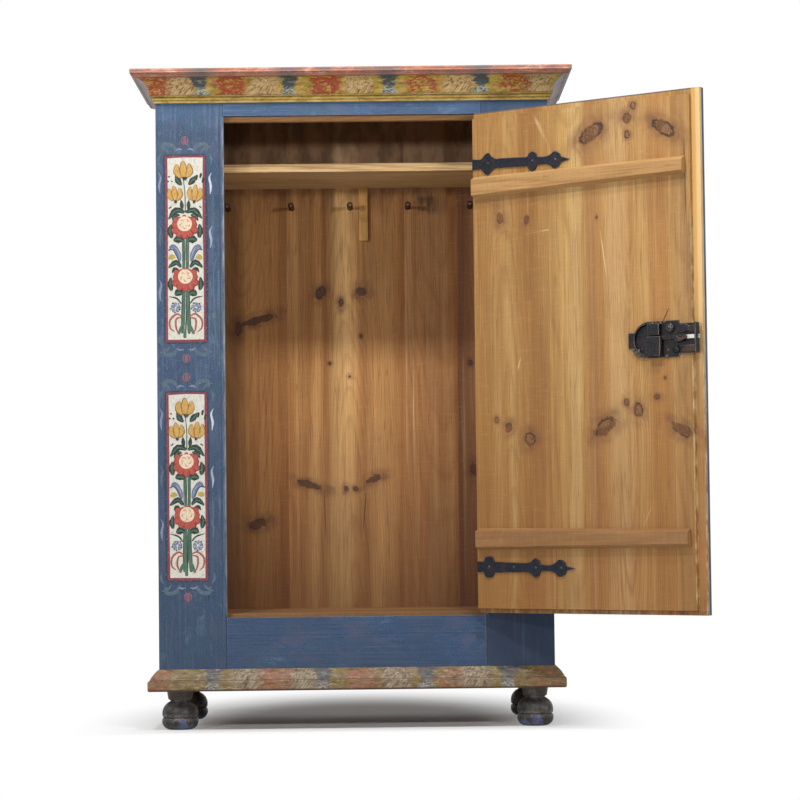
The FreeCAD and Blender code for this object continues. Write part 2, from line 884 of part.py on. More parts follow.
def strap_hinge(word, level, tilt):
    half = sheet.strap_width / 2
    foot_z = level.value - half
    leaf = strap_leaf(word, web_high.value, level.value, tilt)
    web = Part.makeBox(
        sheet.strap_stock,
        leaf_back.value + sheet.strap_stock - pivot_y.value,
        sheet.strap_width,
        FreeCAD.Vector(web_low.value, pivot_y.value, foot_z),
    )
    centre = FreeCAD.Vector(pivot_x.value, pivot_y.value, foot_z)
    eye = Part.makeCylinder(sheet.eye_radius, sheet.strap_width, centre)
    bore = Part.makeCylinder(sheet.pin_radius + sheet.pin_fit, sheet.strap_width, centre)
    whole = leaf.fuse([web, eye]).cut(bore).removeSplitter()
    finish(solid(f"strap_{word}", whole), f"strap_hinge_{word}", swung=True)


strap_tilts = {"upper": sheet.strap_tilt_upper, "lower": sheet.strap_tilt_lower}
for word, level in strap_levels.items():
    strap_hinge(word, level, strap_tilts[word])


# Forged nails: a tapered head on a round shank, with the head towards +Y or -Y
nail_crown_share = 0.45


def nail(name, x, y, z, side):
    radius = size("nail_shank_radius")
    length = size("nail_shank_length")
    shank = cylinder(f"{name}_shank", radius, length, (x, y, z), x_axis, 90 * side)
    head = doc.addObject("Part::Cone", f"{name}_head")
    bind(head, "Radius1", size("nail_head_radius"))
    bind(head, "Radius2", size("nail_head_radius") * nail_crown_share)
    bind(head, "Height", size("nail_head_height"))
    turn(head, x_axis, -90 * side)
    place(head, (x, y, z))
    return fuse(f"{name}_joined", [shank, head])


strap_nail_shares = {"upper": (0.162, 0.626, 0.86), "lower": (0.125, 0.38, 0.604, 0.862)}
for word, level in strap_levels.items():
    nails = []
    slope = math.tan(math.radians(strap_tilts[word]))
    for number, share in enumerate(strap_nail_shares[word], start=1):
        run = strap_length * share
        spot_y = leaf_back + size("strap_stock")
        nail_level = level - run * slope
        nails.append(nail(f"strap_nail_{word}_{number}", web_high - run, spot_y, nail_level, 1))
    finish(group("Part::Compound", f"strap_nails_{word}_set", nails), f"strap_nails_{word}", swung=True)


# Pintles: a plate nailed to the right stile, with a lug that carries the upright pin
pintle_nail_shares = ((0.3, 0.28), (0.3, 0.72), (0.76, 0.28), (0.76, 0.72))
pintle_nails = []
for word, level in strap_levels.items():
    name = f"pintle_{word}"
    half = size("strap_width") / 2
    lug_head = level - half - size("lug_clearance")
    lug_foot = lug_head - size("lug_height")
    plate_left = opening_half + size("pintle_plate_gap")
    plate_foot = lug_foot - (size("pintle_plate_height") - size("lug_height")) / 2
    plate_front = -size("pintle_plate_stock")
    plate_right = plate_left + size("pintle_plate_width")
    plate_head = plate_foot + size("pintle_plate_height")
    plate = box(f"{name}_plate", (plate_left, plate_front, plate_foot), (plate_right, zero, plate_head))
    arm_front = pivot_y - size("pin_radius")
    arm_end = plate_left + size("pin_radius")
    arm = box(f"{name}_arm", (pivot_x, arm_front, lug_foot), (arm_end, plate_front, lug_head))
    boss = cylinder(f"{name}_boss", size("eye_radius"), size("lug_height"), (pivot_x, pivot_y, lug_foot))
    pin_length = level + half + size("pin_top") - lug_foot
    pin = cylinder(f"{name}_pin", size("pin_radius"), pin_length, (pivot_x, pivot_y, lug_foot))
    finish(fuse(f"{name}_joined", [plate, arm, boss, pin]), f"hinge_pintle_{word}")
    for number, (across_share, up_share) in enumerate(pintle_nail_shares, start=1):
        x = plate_left + size("pintle_plate_width") * across_share
        z = plate_foot + size("pintle_plate_height") * up_share
        pintle_nails.append(nail(f"{name}_nail_{number}", x, plate_front, z, -1))
finish(group("Part::Compound", "pintle_nail_set", pintle_nails), "pintle_nails")


# Lock: a plate with a rounded end and a bent-up flange, open on the inside of the door
plate_back = leaf_back + size("lock_plate_stock")
bolt_level = lock_level + size("bolt_rise")
bolt_front = plate_back + size("bolt_clearance")
bolt_back = bolt_front + size("bolt_stock")
bolt_half = size("bolt_height") / 2
body_half = size("lock_body_height") / 2
fore_half = size("lock_fore_height") / 2
ear_half = size("lock_ear_height") / 2
flange_back = plate_back + size("lock_flange_height")
main = box(
    "lock_main",
    (lock_body_end, leaf_back, lock_level - body_half),
    (lock_round, plate_back, lock_level + body_half),
)
fore = box(
    "lock_fore",
    (lock_end, leaf_back, lock_level - fore_half),
    (lock_body_end, plate_back, lock_level + fore_half),
)
round_spot = (lock_round, leaf_back, lock_level)
round_end = cylinder("lock_round", body_half, size("lock_plate_stock"), round_spot, x_axis, -90)
ear_end = lock_round + body_half + size("lock_ear_length")
ear = box(
    "lock_ear",
    (lock_round, leaf_back, lock_level - ear_half),
    (ear_end, plate_back, lock_level + ear_half),
)
flange = box(
    "lock_flange",
    (lock_end, leaf_back, lock_level - fore_half),
    (lock_end + size("lock_flange_stock"), flange_back, lock_level + fore_half),
)
slot_half = bolt_half + size("bolt_clearance")
slot_end = lock_end + size("lock_flange_stock") + overrun
slot = box(
    "lock_slot",
    (lock_end - overrun, plate_back, bolt_level - slot_half),
    (slot_end, bolt_back + size("bolt_clearance"), bolt_level + slot_half),
)
key_spot = (bridge_middle, leaf_back - overrun, key_level)
key_length = size("lock_plate_stock") + overrun + overrun
keyhole = cylinder("lock_keyhole", size("key_hole_radius"), key_length, key_spot, x_axis, -90)
lock_blank = fuse("lock_blank", [main, fore, round_end, ear, flange])
finish(cut("lock_plate_cut", lock_blank, [slot, keyhole]), "lock_plate", swung=True)

# The bridge stands on two feet over the keyhole and keeps the bolt down
bridge_left = bridge_middle - size("bridge_width") / 2
bridge_right = bridge_middle + size("bridge_width") / 2
bridge_foot = lock_level - size("bridge_drop")
bridge_head = bridge_foot + size("bridge_height")
bridge_under = plate_back + size("bridge_clear")
bridge_back = bridge_under + size("bridge_stock")
feet_head = bridge_foot + size("bridge_foot_height")
deck = box(
    "bridge_deck",
    (bridge_left, bridge_under, bridge_foot),
    (bridge_right, bridge_back, bridge_head),
)
near_foot = box(
    "bridge_near_foot",
    (bridge_left, plate_back, bridge_foot),
    (bridge_left + size("bridge_stock"), bridge_back, feet_head),
)
far_foot = box(
    "bridge_far_foot",
    (bridge_right - size("bridge_stock"), plate_back, bridge_foot),
    (bridge_right, bridge_back, feet_head),
)
finish(fuse("bridge_joined", [deck, near_foot, far_foot]), "lock_bridge", swung=True)

# The tumbler box stands on the plate above the bolt, and the leaf spring lies in the rounded end
tumbler_foot = bolt_level + bolt_half + size("tumbler_rise")
tumbler = box(
    "tumbler",
    (bridge_middle - size("tumbler_width") / 2, plate_back, tumbler_foot),
    (
        bridge_middle + size("tumbler_width") / 2,
        plate_back + size("tumbler_depth"),
        tumbler_foot + size("tumbler_height"),
    ),
)
finish(group("Part::Compound", "tumbler_set", [tumbler]), "lock_tumbler_box", swung=True)


def lock_spring():
    outer = sheet.spring_radius
    spot = FreeCAD.Vector(lock_round.value, plate_back.value, lock_level.value)
    towards_back = FreeCAD.Vector(0, 1, 0)
    start = sheet.spring_start
    disc = Part.makeCylinder(outer, sheet.spring_depth, spot, towards_back, sheet.spring_sweep)
    core = Part.makeCylinder(outer - sheet.spring_stock, sheet.spring_depth, spot, towards_back)
    strip = disc.cut(core)
    strip.rotate(spot, towards_back, start)
    finish(solid("spring", strip), "lock_spring", swung=True)


lock_spring()

bolt_end = lock_edge + size("bolt_tip")
bolt_tail = bolt_end + size("bolt_length")
bar = box(
    "bolt_bar",
    (bolt_end, bolt_front, bolt_level - bolt_half),
    (bolt_tail, bolt_back, bolt_level + bolt_half),
)
talon_right = bolt_tail - size("bolt_talon_place")
talon_foot = bolt_level - bolt_half - size("bolt_talon_drop")
talon = box(
    "bolt_talon",
    (talon_right - size("bolt_talon_length"), bolt_front, talon_foot),
    (talon_right, bolt_back, bolt_level),
)
finish(fuse("bolt_joined", [bar, talon]), "lock_bolt", swung=True)

lock_screw_shares = ((-0.14, -0.53), (0.38, 0.6), (0.38, -0.62), (0.76, 0.58), (0.76, -0.58))
lock_screws = []
for number, (across_share, up_share) in enumerate(lock_screw_shares, start=1):
    x = lock_round - (lock_round - lock_end) * across_share
    z = lock_level + body_half * up_share
    lock_screws.append(nail(f"lock_screw_{number}", x, plate_back, z, 1))
finish(group("Part::Compound", "lock_screw_set", lock_screws), "lock_screws", swung=True)

# Keyhole plate on the outer face of the door
shield_half = size("escutcheon_width") / 2
shield_front = leaf_front - size("escutcheon_stock")
shield_straight = size("escutcheon_height") / 2 - shield_half
shield = box(
    "shield_middle",
    (bridge_middle - shield_half, shield_front, key_level - shield_straight),
    (bridge_middle + shield_half, leaf_front, key_level + shield_straight),
)
shield_pieces = [shield]
for word, level in (("top", key_level + shield_straight), ("foot", key_level - shield_straight)):
    spot = (bridge_middle, shield_front, level)
    stock = size("escutcheon_stock")
    shield_pieces.append(cylinder(f"shield_{word}", shield_half, stock, spot, x_axis, -90))
hole_spot = (bridge_middle, shield_front - overrun, key_level)
hole_length = size("escutcheon_stock") + overrun + overrun
shield_hole = cylinder("shield_keyhole", size("key_hole_radius"), hole_length, hole_spot, x_axis, -90)
shield_blank = fuse("shield_blank", shield_pieces)
finish(cut("shield_cut", shield_blank, [shield_hole]), "lock_escutcheon", swung=True)

# Keeper behind the left stile: the bolt slides behind it when the door is locked
keeper_right = -opening_half - size("keeper_gap")
keeper_half = size("keeper_height") / 2
keeper = box(
    "keeper",
    (keeper_right - size("keeper_width"), frame_back, bolt_level - keeper_half),
    (keeper_right, bolt_front - size("keeper_clearance"), bolt_level + keeper_half),
)
finish(keeper, "bolt_keeper")

doc.recompute()
for thing in doc.Objects:
    if "Invalid" in thing.State or "Error" in thing.State:
        raise RuntimeError(f"{thing.Name} failed: {thing.State}")
for thing in finished:
    if thing.Shape.isNull() or not thing.Shape.isValid():
        raise RuntimeError(f"{thing.Label} has no valid shape")

os.makedirs("parts", exist_ok=True)
for thing in finished:
    thing.Shape.exportStep(f"parts/{thing.Label}.step")
print(f"{len(finished)} pieces written")
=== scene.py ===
import math
import random
import bmesh
import bpy
from mathutils import Matrix, Vector
from mathutils.bvhtree import BVHTree


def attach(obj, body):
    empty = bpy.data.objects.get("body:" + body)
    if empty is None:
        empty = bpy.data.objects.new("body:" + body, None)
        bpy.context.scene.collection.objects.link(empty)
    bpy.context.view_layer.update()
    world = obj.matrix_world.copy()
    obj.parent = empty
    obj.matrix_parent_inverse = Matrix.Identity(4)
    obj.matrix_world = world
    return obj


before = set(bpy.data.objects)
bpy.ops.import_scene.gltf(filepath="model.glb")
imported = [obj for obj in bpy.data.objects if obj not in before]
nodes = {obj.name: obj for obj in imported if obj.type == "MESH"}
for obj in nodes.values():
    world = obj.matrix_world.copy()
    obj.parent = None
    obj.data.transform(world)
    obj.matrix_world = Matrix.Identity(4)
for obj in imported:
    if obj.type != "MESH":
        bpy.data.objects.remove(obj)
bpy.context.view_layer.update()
print("frame loaded,", len(nodes), "pieces of joinery")


def linear(code):  # sRGB hex to the linear colour a shader wants
    channels = [int(code[i:i + 2], 16) / 255 for i in (0, 2, 4)]
    return tuple(c / 12.92 if c <= 0.04045 else ((c + 0.055) / 1.055) ** 2.4 for c in channels) + (1.0,)


bench = {"tree": None}  # the material that is being made


def put(kind, *feeds, **settings):
    # adds one node: capital names are its sockets, the rest its settings, and feeds fill the sockets in
    # order
    tree = bench["tree"]
    node = tree.nodes.new("ShaderNode" + kind)
    stops = settings.pop("stops", None)
    for key, value in settings.items():
        if not key[0].isupper():
            setattr(node, key, value)
    if stops:
        ramp = node.color_ramp.elements
        for stop, (place, code) in ((ramp[1], stops[-1]), (ramp[0], stops[0])):
            stop.position, stop.color = place, linear(code)
        for place, code in stops[1:-1]:
            ramp.new(place).color = linear(code)
    pairs = list(zip([s for s in node.inputs if s.enabled], feeds))
    pairs += [(node.inputs[key.replace("_", " ")], v) for key, v in settings.items() if key[0].isupper()]
    for socket, source in pairs:
        if isinstance(source, bpy.types.Node):
            source = [s for s in source.outputs if s.enabled][0]
        if isinstance(source, bpy.types.NodeSocket):
            tree.links.new(source, socket)
        else:
            socket.default_value = linear(source) if isinstance(source, str) else source
    return node


def mathNode(operation):
    def step(*feeds, **settings):
        return put("Math", *feeds, operation=operation, **settings)
    return step


plus, minus, times, ratio = map(mathNode, ("ADD", "SUBTRACT", "MULTIPLY", "DIVIDE"))
timesPlus, least, most = map(mathNode, ("MULTIPLY_ADD", "MINIMUM", "MAXIMUM"))
positive, fraction = map(mathNode, ("ABSOLUTE", "FRACT"))


def apart(place, middle):  # distance of a place from a line
    return positive(minus(place, middle))


def vectorNode(operation):
    def step(*feeds):
        return put("VectorMath", *feeds, operation=operation)
    return step


shift, drawOut, lengthOf, facingOf = map(vectorNode, ("ADD", "MULTIPLY", "LENGTH", "DOT_PRODUCT"))


def span(value, start, end, low, high, **settings):  # a value read over one range becomes another
    return put("MapRange", value, start, end, low, high, **settings)


def ease(value, start, end, share=1.0, **settings):  # the same, from nothing up to a share
    return span(value, start, end, 0.0, share, **settings)


def noiseAt(place, scale, detail, roughness=0.5, **settings):
    return put("TexNoise", Vector=place, Scale=scale, Detail=detail, Roughness=roughness, **settings)


def cover(under, over, share, **settings):  # one colour laid over another
    return put("Mix", share, under, over, data_type="RGBA", **settings)


def shades(value, places, codes):  # colours that a value runs through
    return put("ValToRGB", value, stops=list(zip(places, codes)))


def begin(owner):
    owner.use_nodes = True
    bench["tree"] = owner.node_tree
    bench["tree"].nodes.clear()
    return owner


def newMaterial(name):
    return begin(bpy.data.materials.new(name))


def cornerOf(radius):  # a rounded normal, and how far it turns away from the true one
    soft = put("Bevel", Radius=radius, samples=4)
    return soft, facingOf(soft, put("NewGeometry").outputs["Normal"])


def meshOf(name, mesh):
    data = bpy.data.meshes.new(name)
    mesh.to_mesh(data)
    mesh.free()
    return data


def newPiece(name, data):
    piece = bpy.data.objects.new(name, data)
    bpy.context.scene.collection.objects.link(piece)
    return piece


# the door hangs open in this frame; its grain and paint are laid out as if it were shut
swing = {"pivot": (0.347, -0.0065, 0.0), "open": math.radians(144.4)}
pivotAt = Vector(swing["pivot"])
swung = Matrix.Rotation(swing["open"], 4, "Z")
openTurn = Matrix.Translation(pivotAt) @ swung @ Matrix.Translation(-pivotAt)


def lieOf(shut):
    spot = put("TexCoord").outputs["Object"]
    if not shut:
        return spot
    return put("Mapping", spot, vector_type="TEXTURE", Location=openTurn.to_translation(),
               Rotation=(0, 0, swing["open"]))


# pine: planed softwood, darkened by age. Rings and sap give stripes, knots darken and bend them, and use
# leaves scratches
pineDefaults = {
    "axes": ("X", "Y", "Z"),  # across the board, through it, along the grain
    "shut": False,
    "pale": "d8ab70", "warm": "b97f45", "late": "8a5a2e", "bright": "eac88c",
    "stain": "74512f", "scuff": "f0d6a6", "scrape": "ecd09c",
    "knot": "7a4f2e", "core": "4c2f1e", "sound": "c99c68", "rim": "2c190e", "resin": "6d4730",
    "ragged": 70.0, "broken": 33.0,  # how many to a metre, in a knot
    # where the heart of the tree ran, and its tilt in degrees
    "pith": (0.0, 0.09, 1.0), "lean": (4.0, 0.6),
    "ring": 5.5,  # mm; real rings are 2 to 4 mm apart, drawn wider so that they show
    "fibre": (1.9, 150.0),  # mm across and along; real fibres are far finer
    "ringShare": 0.22, "toneShare": 0.8, "stainShare": 0.32, "seed": 0.0, "bend": 0.024,
    # how sound a knot's heart is, the resin round it, its ragged outline
    "heart": 0.22, "halo": 0.82, "torn": 0.85,
    # mm across, along, half width, half length, and tilt in degrees
    "knots": [], "splits": [], "scratches": [],
    "bands": [],  # sap and heart stripes: middle, half width, colour, share
    "marks": [],  # colour, share, speckle in mm or 0, then the ranges over which it comes in
    "rough": (0.46, 0.66),
}
pineStreaks = {  # noise drawn out along the grain: mm across and along, then detail and roughness
    "sway": (140, 750, 1.5, 0.45), "tone": (75, 1900, 2.0), "narrow": (13, 620), "hair": (7, 330, 1.0),
    "strength": (200, 650, 1.0), "tear": (3.0, 34, 3.0, 0.7), "rubbing": (42, 3.2, 3.0, 0.65),
    "blot": (1000 / 9, 250, 5.0, 0.62),
}
# across one ring from early to late wood, and across the fibres
ringShades = [(0.0, "4a4a4a"), (0.22, "000000"), (0.55, "3c3c3c"), (0.86, "ffffff"), (1.0, "6a6a6a")]
fibreShades = [(0.25, "c6c6c6"), (0.5, "f2f2f2"), (0.75, "ffffff")]


def pineGrain(spot, wood):
    parts = put("SeparateXYZ", spot)
    across, through, along = (parts.outputs[a] for a in wood["axes"])
    grain = put("CombineXYZ", across, through, along)
    shifted = shift(grain, (wood["seed"] * 1.7, wood["seed"] * 0.9, wood["seed"] * 2.3))

    def streaks(wide, long, detail=2.0, roughness=0.5):
        drawn = drawOut(shifted, (1000 / wide, 1000 / wide, 1000 / long))
        return noiseAt(drawn, 1.0, detail, roughness)

    def oval(place, lie=grain):  # distance from a mark, in its own half sizes
        x, z, halfWidth, halfLength, tilt = place
        local = put("Mapping", lie, vector_type="TEXTURE", Location=(x / 1000, 0.0, z / 1000),
                    Rotation=(0, math.radians(tilt), 0), Scale=(halfWidth / 1000, 1.0, halfLength / 1000))
        return lengthOf(drawOut(local, (1.0, 0.0, 1.0)))

    reach = None
    for knot in wood["knots"]:
        size = oval(knot)
        reach = size if reach is None else least(reach, size)
    # rings round a leaning pith, waved a little and pushed aside by the knots
    stem = put("Mapping", grain, vector_type="TEXTURE", Location=wood["pith"],
               Rotation=(math.radians(wood["lean"][0]), math.radians(wood["lean"][1]), 0))
    radius = lengthOf(drawOut(stem, (1.0, 1.0, 0.0)))
    sway = streaks(*pineStreaks["sway"])
    radius = timesPlus(sway, 0.03, radius)
    if reach is not None:
        squared = timesPlus(reach, reach, 1.3)
        radius = timesPlus(ratio(1.0, squared), wood["bend"], radius)
    phase = fraction(times(radius, 1000.0 / wood["ring"]))
    lateWood = put("ValToRGB", phase, stops=ringShades)
    # heart and sap wood in wide stripes, then narrow ones, then fibres
    tone = streaks(*pineStreaks["tone"])
    colour = cover(wood["pale"], wood["warm"], ease(tone, 0.37, 0.63, wood["toneShare"]))
    for middle, halfWidth, code, share in wood["bands"]:
        drift = timesPlus(sway, 0.05, across)
        off = apart(drift, middle / 1000 + 0.025)
        band = ease(off, halfWidth / 1000, halfWidth / 3000, share, interpolation_type="SMOOTHSTEP")
        colour = cover(colour, code, band)
    narrow = streaks(*pineStreaks["narrow"])
    colour = cover(colour, wood["late"], ease(narrow, 0.5, 0.74, 0.24))
    colour = cover(colour, wood["bright"], ease(narrow, 0.46, 0.26, 0.2))
    hair = apart(streaks(*pineStreaks["hair"]), 0.5)
    colour = cover(colour, wood["late"], ease(hair, 0.035, 0.006, 0.4))  # thin lines of late wood
    strength = streaks(*pineStreaks["strength"])
    ringFac = times(span(strength, 0.36, 0.66, 0.25, wood["ringShare"] * 2), lateWood)
    colour = cover(colour, wood["late"], times(ringFac, 0.8))
    fibre = streaks(*wood["fibre"], 3.0, 0.65)
    colour = cover(colour, put("ValToRGB", fibre, stops=fibreShades), 0.8, blend_type="MULTIPLY")
    tear = streaks(*pineStreaks["tear"])  # left by the plane
    colour = cover(colour, wood["late"], ease(tear, 0.52, 0.72, 0.24))
    rubbing = streaks(*pineStreaks["rubbing"])  # fine scuffs across the grain
    colour = cover(colour, wood["scuff"], ease(rubbing, 0.54, 0.74, 0.09))
    blot = streaks(*pineStreaks["blot"])
    colour = cover(colour, wood["stain"], ease(blot, 0.5, 0.74, wood["stainShare"]))  # handling and water
    height = timesPlus(fibre, 0.6, lateWood)
    if reach is not None:
        # a knot: torn outline, checks across a brown heart, resin drawn into the wood round it
        ragged = noiseAt(shifted, wood["ragged"], 4.0, 0.6, Distortion=1.2)
        broken = noiseAt(shifted, wood["broken"], 2.0)
        edge = timesPlus(ragged, wood["torn"], minus(reach, wood["torn"] / 2))
        halo = ease(edge, 3.4, 0.8, wood["halo"], interpolation_type="SMOOTHSTEP")
        halo = times(halo, span(broken, 0.35, 0.65, 0.25, 1.0))
        colour = cover(colour, wood["resin"], halo)
        heart = cover(wood["knot"], wood["core"], ease(ragged, 0.38, 0.6, 0.6))
        check = ease(apart(ragged, 0.5), 0.05, 0.015, 0.5)
        heart = cover(heart, wood["rim"], check)
        heart = cover(heart, wood["sound"], ease(broken, 0.5, 0.6, wood["heart"]))
        growth = fraction(times(edge, 3.4))
        heart = cover(heart, wood["rim"], ease(growth, 0.6, 0.9, 0.6))
        colour = cover(colour, heart, ease(edge, 1.12, 0.86, 0.9))
        ring = ease(apart(edge, 1.0), 0.24, 0.06)
        ring = times(ring, span(broken, 0.4, 0.56, 0.1, 0.9))
        colour = cover(colour, wood["rim"], ring)
        height = timesPlus(ring, -1.5, height)
    for split in wood["splits"]:
        wave = shift(grain, put("CombineXYZ", timesPlus(sway, 0.012, -0.006), 0.0, 0.0))
        gap = ease(oval(split, wave), 1.25, 0.8, 0.85)
        colour = cover(colour, wood["rim"], gap)
        height = timesPlus(gap, -3.0, height)
    for scratch in wood["scratches"]:
        scrape = times(ease(oval(scratch), 1.3, 0.7, 0.5), span(blot, 0.4, 0.56, 1.0, 0.2))
        colour = cover(colour, wood["scrape"], scrape)
    for code, share, speckle, *ranges in wood["marks"]:
        factor = share
        for axis, start, end in ranges:
            factor = times(ease(parts.outputs[axis], start, end), factor)
        if speckle:
            drawn = drawOut(shifted, (1.0, 1.0, 0.4))
            chips = noiseAt(drawn, 1000 / speckle, 3.0, 0.6)
            factor = times(ease(chips, 0.42, 0.6), factor)
        colour = cover(colour, code, factor)
    rough = span(tone, 0.3, 0.7, *wood["rough"])
    return colour, rough, height


# blue distemper: brushed on by hand in one coat and rubbed thin on the arrises, so that streaks, dirt and
# bare wood show
blueDefaults = {
    "axes": ("X", "Y", "Z"), "shut": False, "seed": 0.0,
    "mid": "344a64", "light": "5d728a", "dark": "23344b", "worn": "a3a3a6", "moss": "4c5f66",
    "bruise": "54546f", "chalk": "8795a8", "seam": "26334a", "joint": "1c2536",
    "clean": "4f7298", "duskyTone": "263449",
    "streak": (7.0, 240.0),  # mm: width and length of a brush mark
    "blotch": 120.0, "chip": 9.0,  # mm
    # how many to a metre
    "fade": 5.5, "grit": 260.0, "cloud": (30.0, 30.0, 13.0), "patch": (90.0, 90.0, 16.0),
    "edge": 0.0028,  # m
    "arris": None,  # where a rubbed edge runs: axis, place, side
    "opening": ((0.300, 0.306), (1.658, 1.652)),  # heights between which that edge is free
    "cleanFrom": (1.61, 1.73), "darkerFrom": (0.95, 0.13),  # heights over which each comes in
}


def blueCoat(spot, coat):
    parts = put("SeparateXYZ", spot)
    z = parts.outputs["Z"]
    lie = put("CombineXYZ", *(parts.outputs[a] for a in coat["axes"]))
    shifted = shift(lie, (coat["seed"] * 1.3, coat["seed"] * 2.1, coat["seed"] * 0.7))
    wide, long = coat["streak"]
    streakAt = drawOut(shifted, (1000 / wide, 1000 / wide, 1000 / long))
    streak = noiseAt(streakAt, 1.0, 4.0, 0.6)
    blotch = noiseAt(shifted, 1000 / coat["blotch"], 5.0, 0.6, Distortion=0.6)
    both = plus(times(streak, 0.55), times(blotch, 0.45))
    tones = [coat[tone] for tone in ("dark", "mid", "mid", "light")]
    colour = shades(both, (0.37, 0.47, 0.53, 0.65), tones)
    fade = noiseAt(shifted, coat["fade"], 4.0, 0.6)
    colour = cover(colour, coat["moss"], ease(fade, 0.5, 0.72, 0.55))
    grit = noiseAt(shifted, coat["grit"], 3.0, 0.7)
    colour = cover(colour, coat["dark"], ease(grit, 0.48, 0.7, 0.6))
    colour = cover(colour, coat["chalk"], ease(grit, 0.45, 0.28, 0.34))
    # coats of unlike blue show through in clouds, and chalky rub marks run up and down
    cloudAt = drawOut(shifted, coat["cloud"])
    cloud = noiseAt(cloudAt, 1.0, 5.0, 0.68, Distortion=0.8)
    colour = cover(colour, coat["bruise"], ease(cloud, 0.5, 0.64, 0.6))
    colour = cover(colour, coat["chalk"], ease(cloud, 0.43, 0.3, 0.28))
    # rubbed edges
    _, facing = cornerOf(coat["edge"])
    chip = noiseAt(shifted, 1000 / coat["chip"], 4.0, 0.65)
    rub = ease(facing, 0.995, 0.86)
    rubbed = ease(times(rub, chip), 0.3, 0.5, 0.85)
    colour = cover(colour, coat["worn"], rubbed)
    height = minus(timesPlus(streak, 0.8, blotch), rubbed)
    if coat["arris"]:
        axis, place, side = coat["arris"]
        inward = times(minus(parts.outputs[axis], place), side * 1000.0)
        patchAt = drawOut(shifted, coat["patch"])
        patch = noiseAt(patchAt, 1.0, 4.0, 0.7)
        beside = times(*(ease(z, *ends) for ends in coat["opening"]))
        strip = times(ease(inward, 8.0, 2.5), ease(patch, 0.42, 0.66, 0.7))
        colour = cover(colour, coat["worn"], times(strip, beside))
        seam = apart(inward, 11.5)
        seamFac = times(ease(seam, 2.2, 0.6, 0.65), beside)
        colour = cover(colour, coat["seam"], seamFac)
        joint = minus(ease(inward, 5.0, 2.6, 0.9), beside, use_clamp=True)
        colour = cover(colour, coat["joint"], joint)  # open joint against the rails
    # cleaner and bluer under the cornice, darker towards the bottom
    colour = cover(colour, coat["clean"], ease(z, *coat["cleanFrom"], 0.36))
    low = ease(z, *coat["darkerFrom"], 0.75)
    lowerDarkening = times(low, span(blotch, 0.35, 0.65, 0.2, 1.0))
    colour = cover(colour, coat["duskyTone"], lowerDarkening)
    rough = span(both, 0.3, 0.7, 0.62, 0.44)
    return colour, rough, height


# wood and paint alike: sharp sawn corners catch a thin light, as handled wood does
surfaceLook = {"corner": 0.0011, "relief": 0.35, "index": 1.48, "gloss": 0.35}


def coated(colour, rough, relief):
    shader = put("BsdfPrincipled", Base_Color=colour, Roughness=rough, Normal=relief,
                 IOR=surfaceLook["index"], Specular_IOR_Level=surfaceLook["gloss"])
    put("OutputMaterial", shader)


def dress(colour, rough, height, depth=0.0004):
    soft = put("Bevel", Radius=surfaceLook["corner"], samples=4)
    relief = put("Bump", Strength=surfaceLook["relief"], Distance=depth, Height=height, Normal=soft)
    coated(colour, rough, relief)


def pineBoard(name, **changes):
    wood = {**pineDefaults, **changes}
    material = newMaterial("oldPine_" + name)
    dress(*pineGrain(lieOf(wood["shut"]), wood))
    return material


def paintedBoard(name, wood, coat, side):
    # side: axis, and the two places between which paint gives way to bare wood
    wood, coat = {**pineDefaults, **wood}, {**blueDefaults, **coat}
    material = newMaterial("bluePaintedPine_" + name)
    spot = lieOf(wood["shut"])
    woodLook, coatLook = pineGrain(spot, wood), blueCoat(spot, coat)
    axis, painted, bare = side
    place = put("SeparateXYZ", spot).outputs[axis]
    share = ease(place, painted, bare)
    colour = cover(coatLook[0], woodLook[0], share)
    rough, height = (put("Mix", share, coatLook[k], woodLook[k], data_type="FLOAT") for k in (1, 2))
    dress(colour, rough, height)
    return material


def wear(material, *names):
    for name in names:
        nodes[name].data.materials.clear()
        nodes[name].data.materials.append(material)


# door boards: pine inside, blue outside. The lip at the lock side is chipped and stained by hands
doorTop, doorFoot = (pick(corner[2] for corner in nodes["door_board_2"].bound_box) for pick in (max, min))
doorMarks = [
    # darker towards the bottom of the door
    ("6c3d13", 0.36, 0, ("Z", 1.1, 0.42)),
    ("4b4a45", 0.85, 0, ("Z", doorTop - 0.0045, doorTop - 0.002)),
    # painted shade in the bottom rebate, with dirt: a dark band near the door's foot
    ("4a3322", 0.6, 14, ("Z", doorFoot + 0.013, doorFoot + 0.009)),
]
lockSideMarks = [
    ("7f6142", 0.7, 55, ("X", -0.285, -0.305), ("X", -0.3215, -0.3180), ("Z", 0.98, 1.1), ("Z", 1.5, 1.36)),
    ("f0d5a2", 0.45, 18, ("X", -0.3155, -0.3180), ("X", -0.3235, -0.3215), ("Z", 1.42, 1.2)),
    ("b0713b", 0.24, 60, ("X", -0.3200, -0.3225), ("Z", 0.95, 0.5)),
    ("e6b468", 0.5, 0, ("X", -0.3200, -0.3215), ("Z", 0.9, 1.2)),
    ("f0cf98", 0.45, 0, ("X", -0.3310, -0.3350), ("Z", 0.8, 1.1)),
    ("dccfb2", 0.5, 12, ("X", -0.3435, -0.3446)),
]
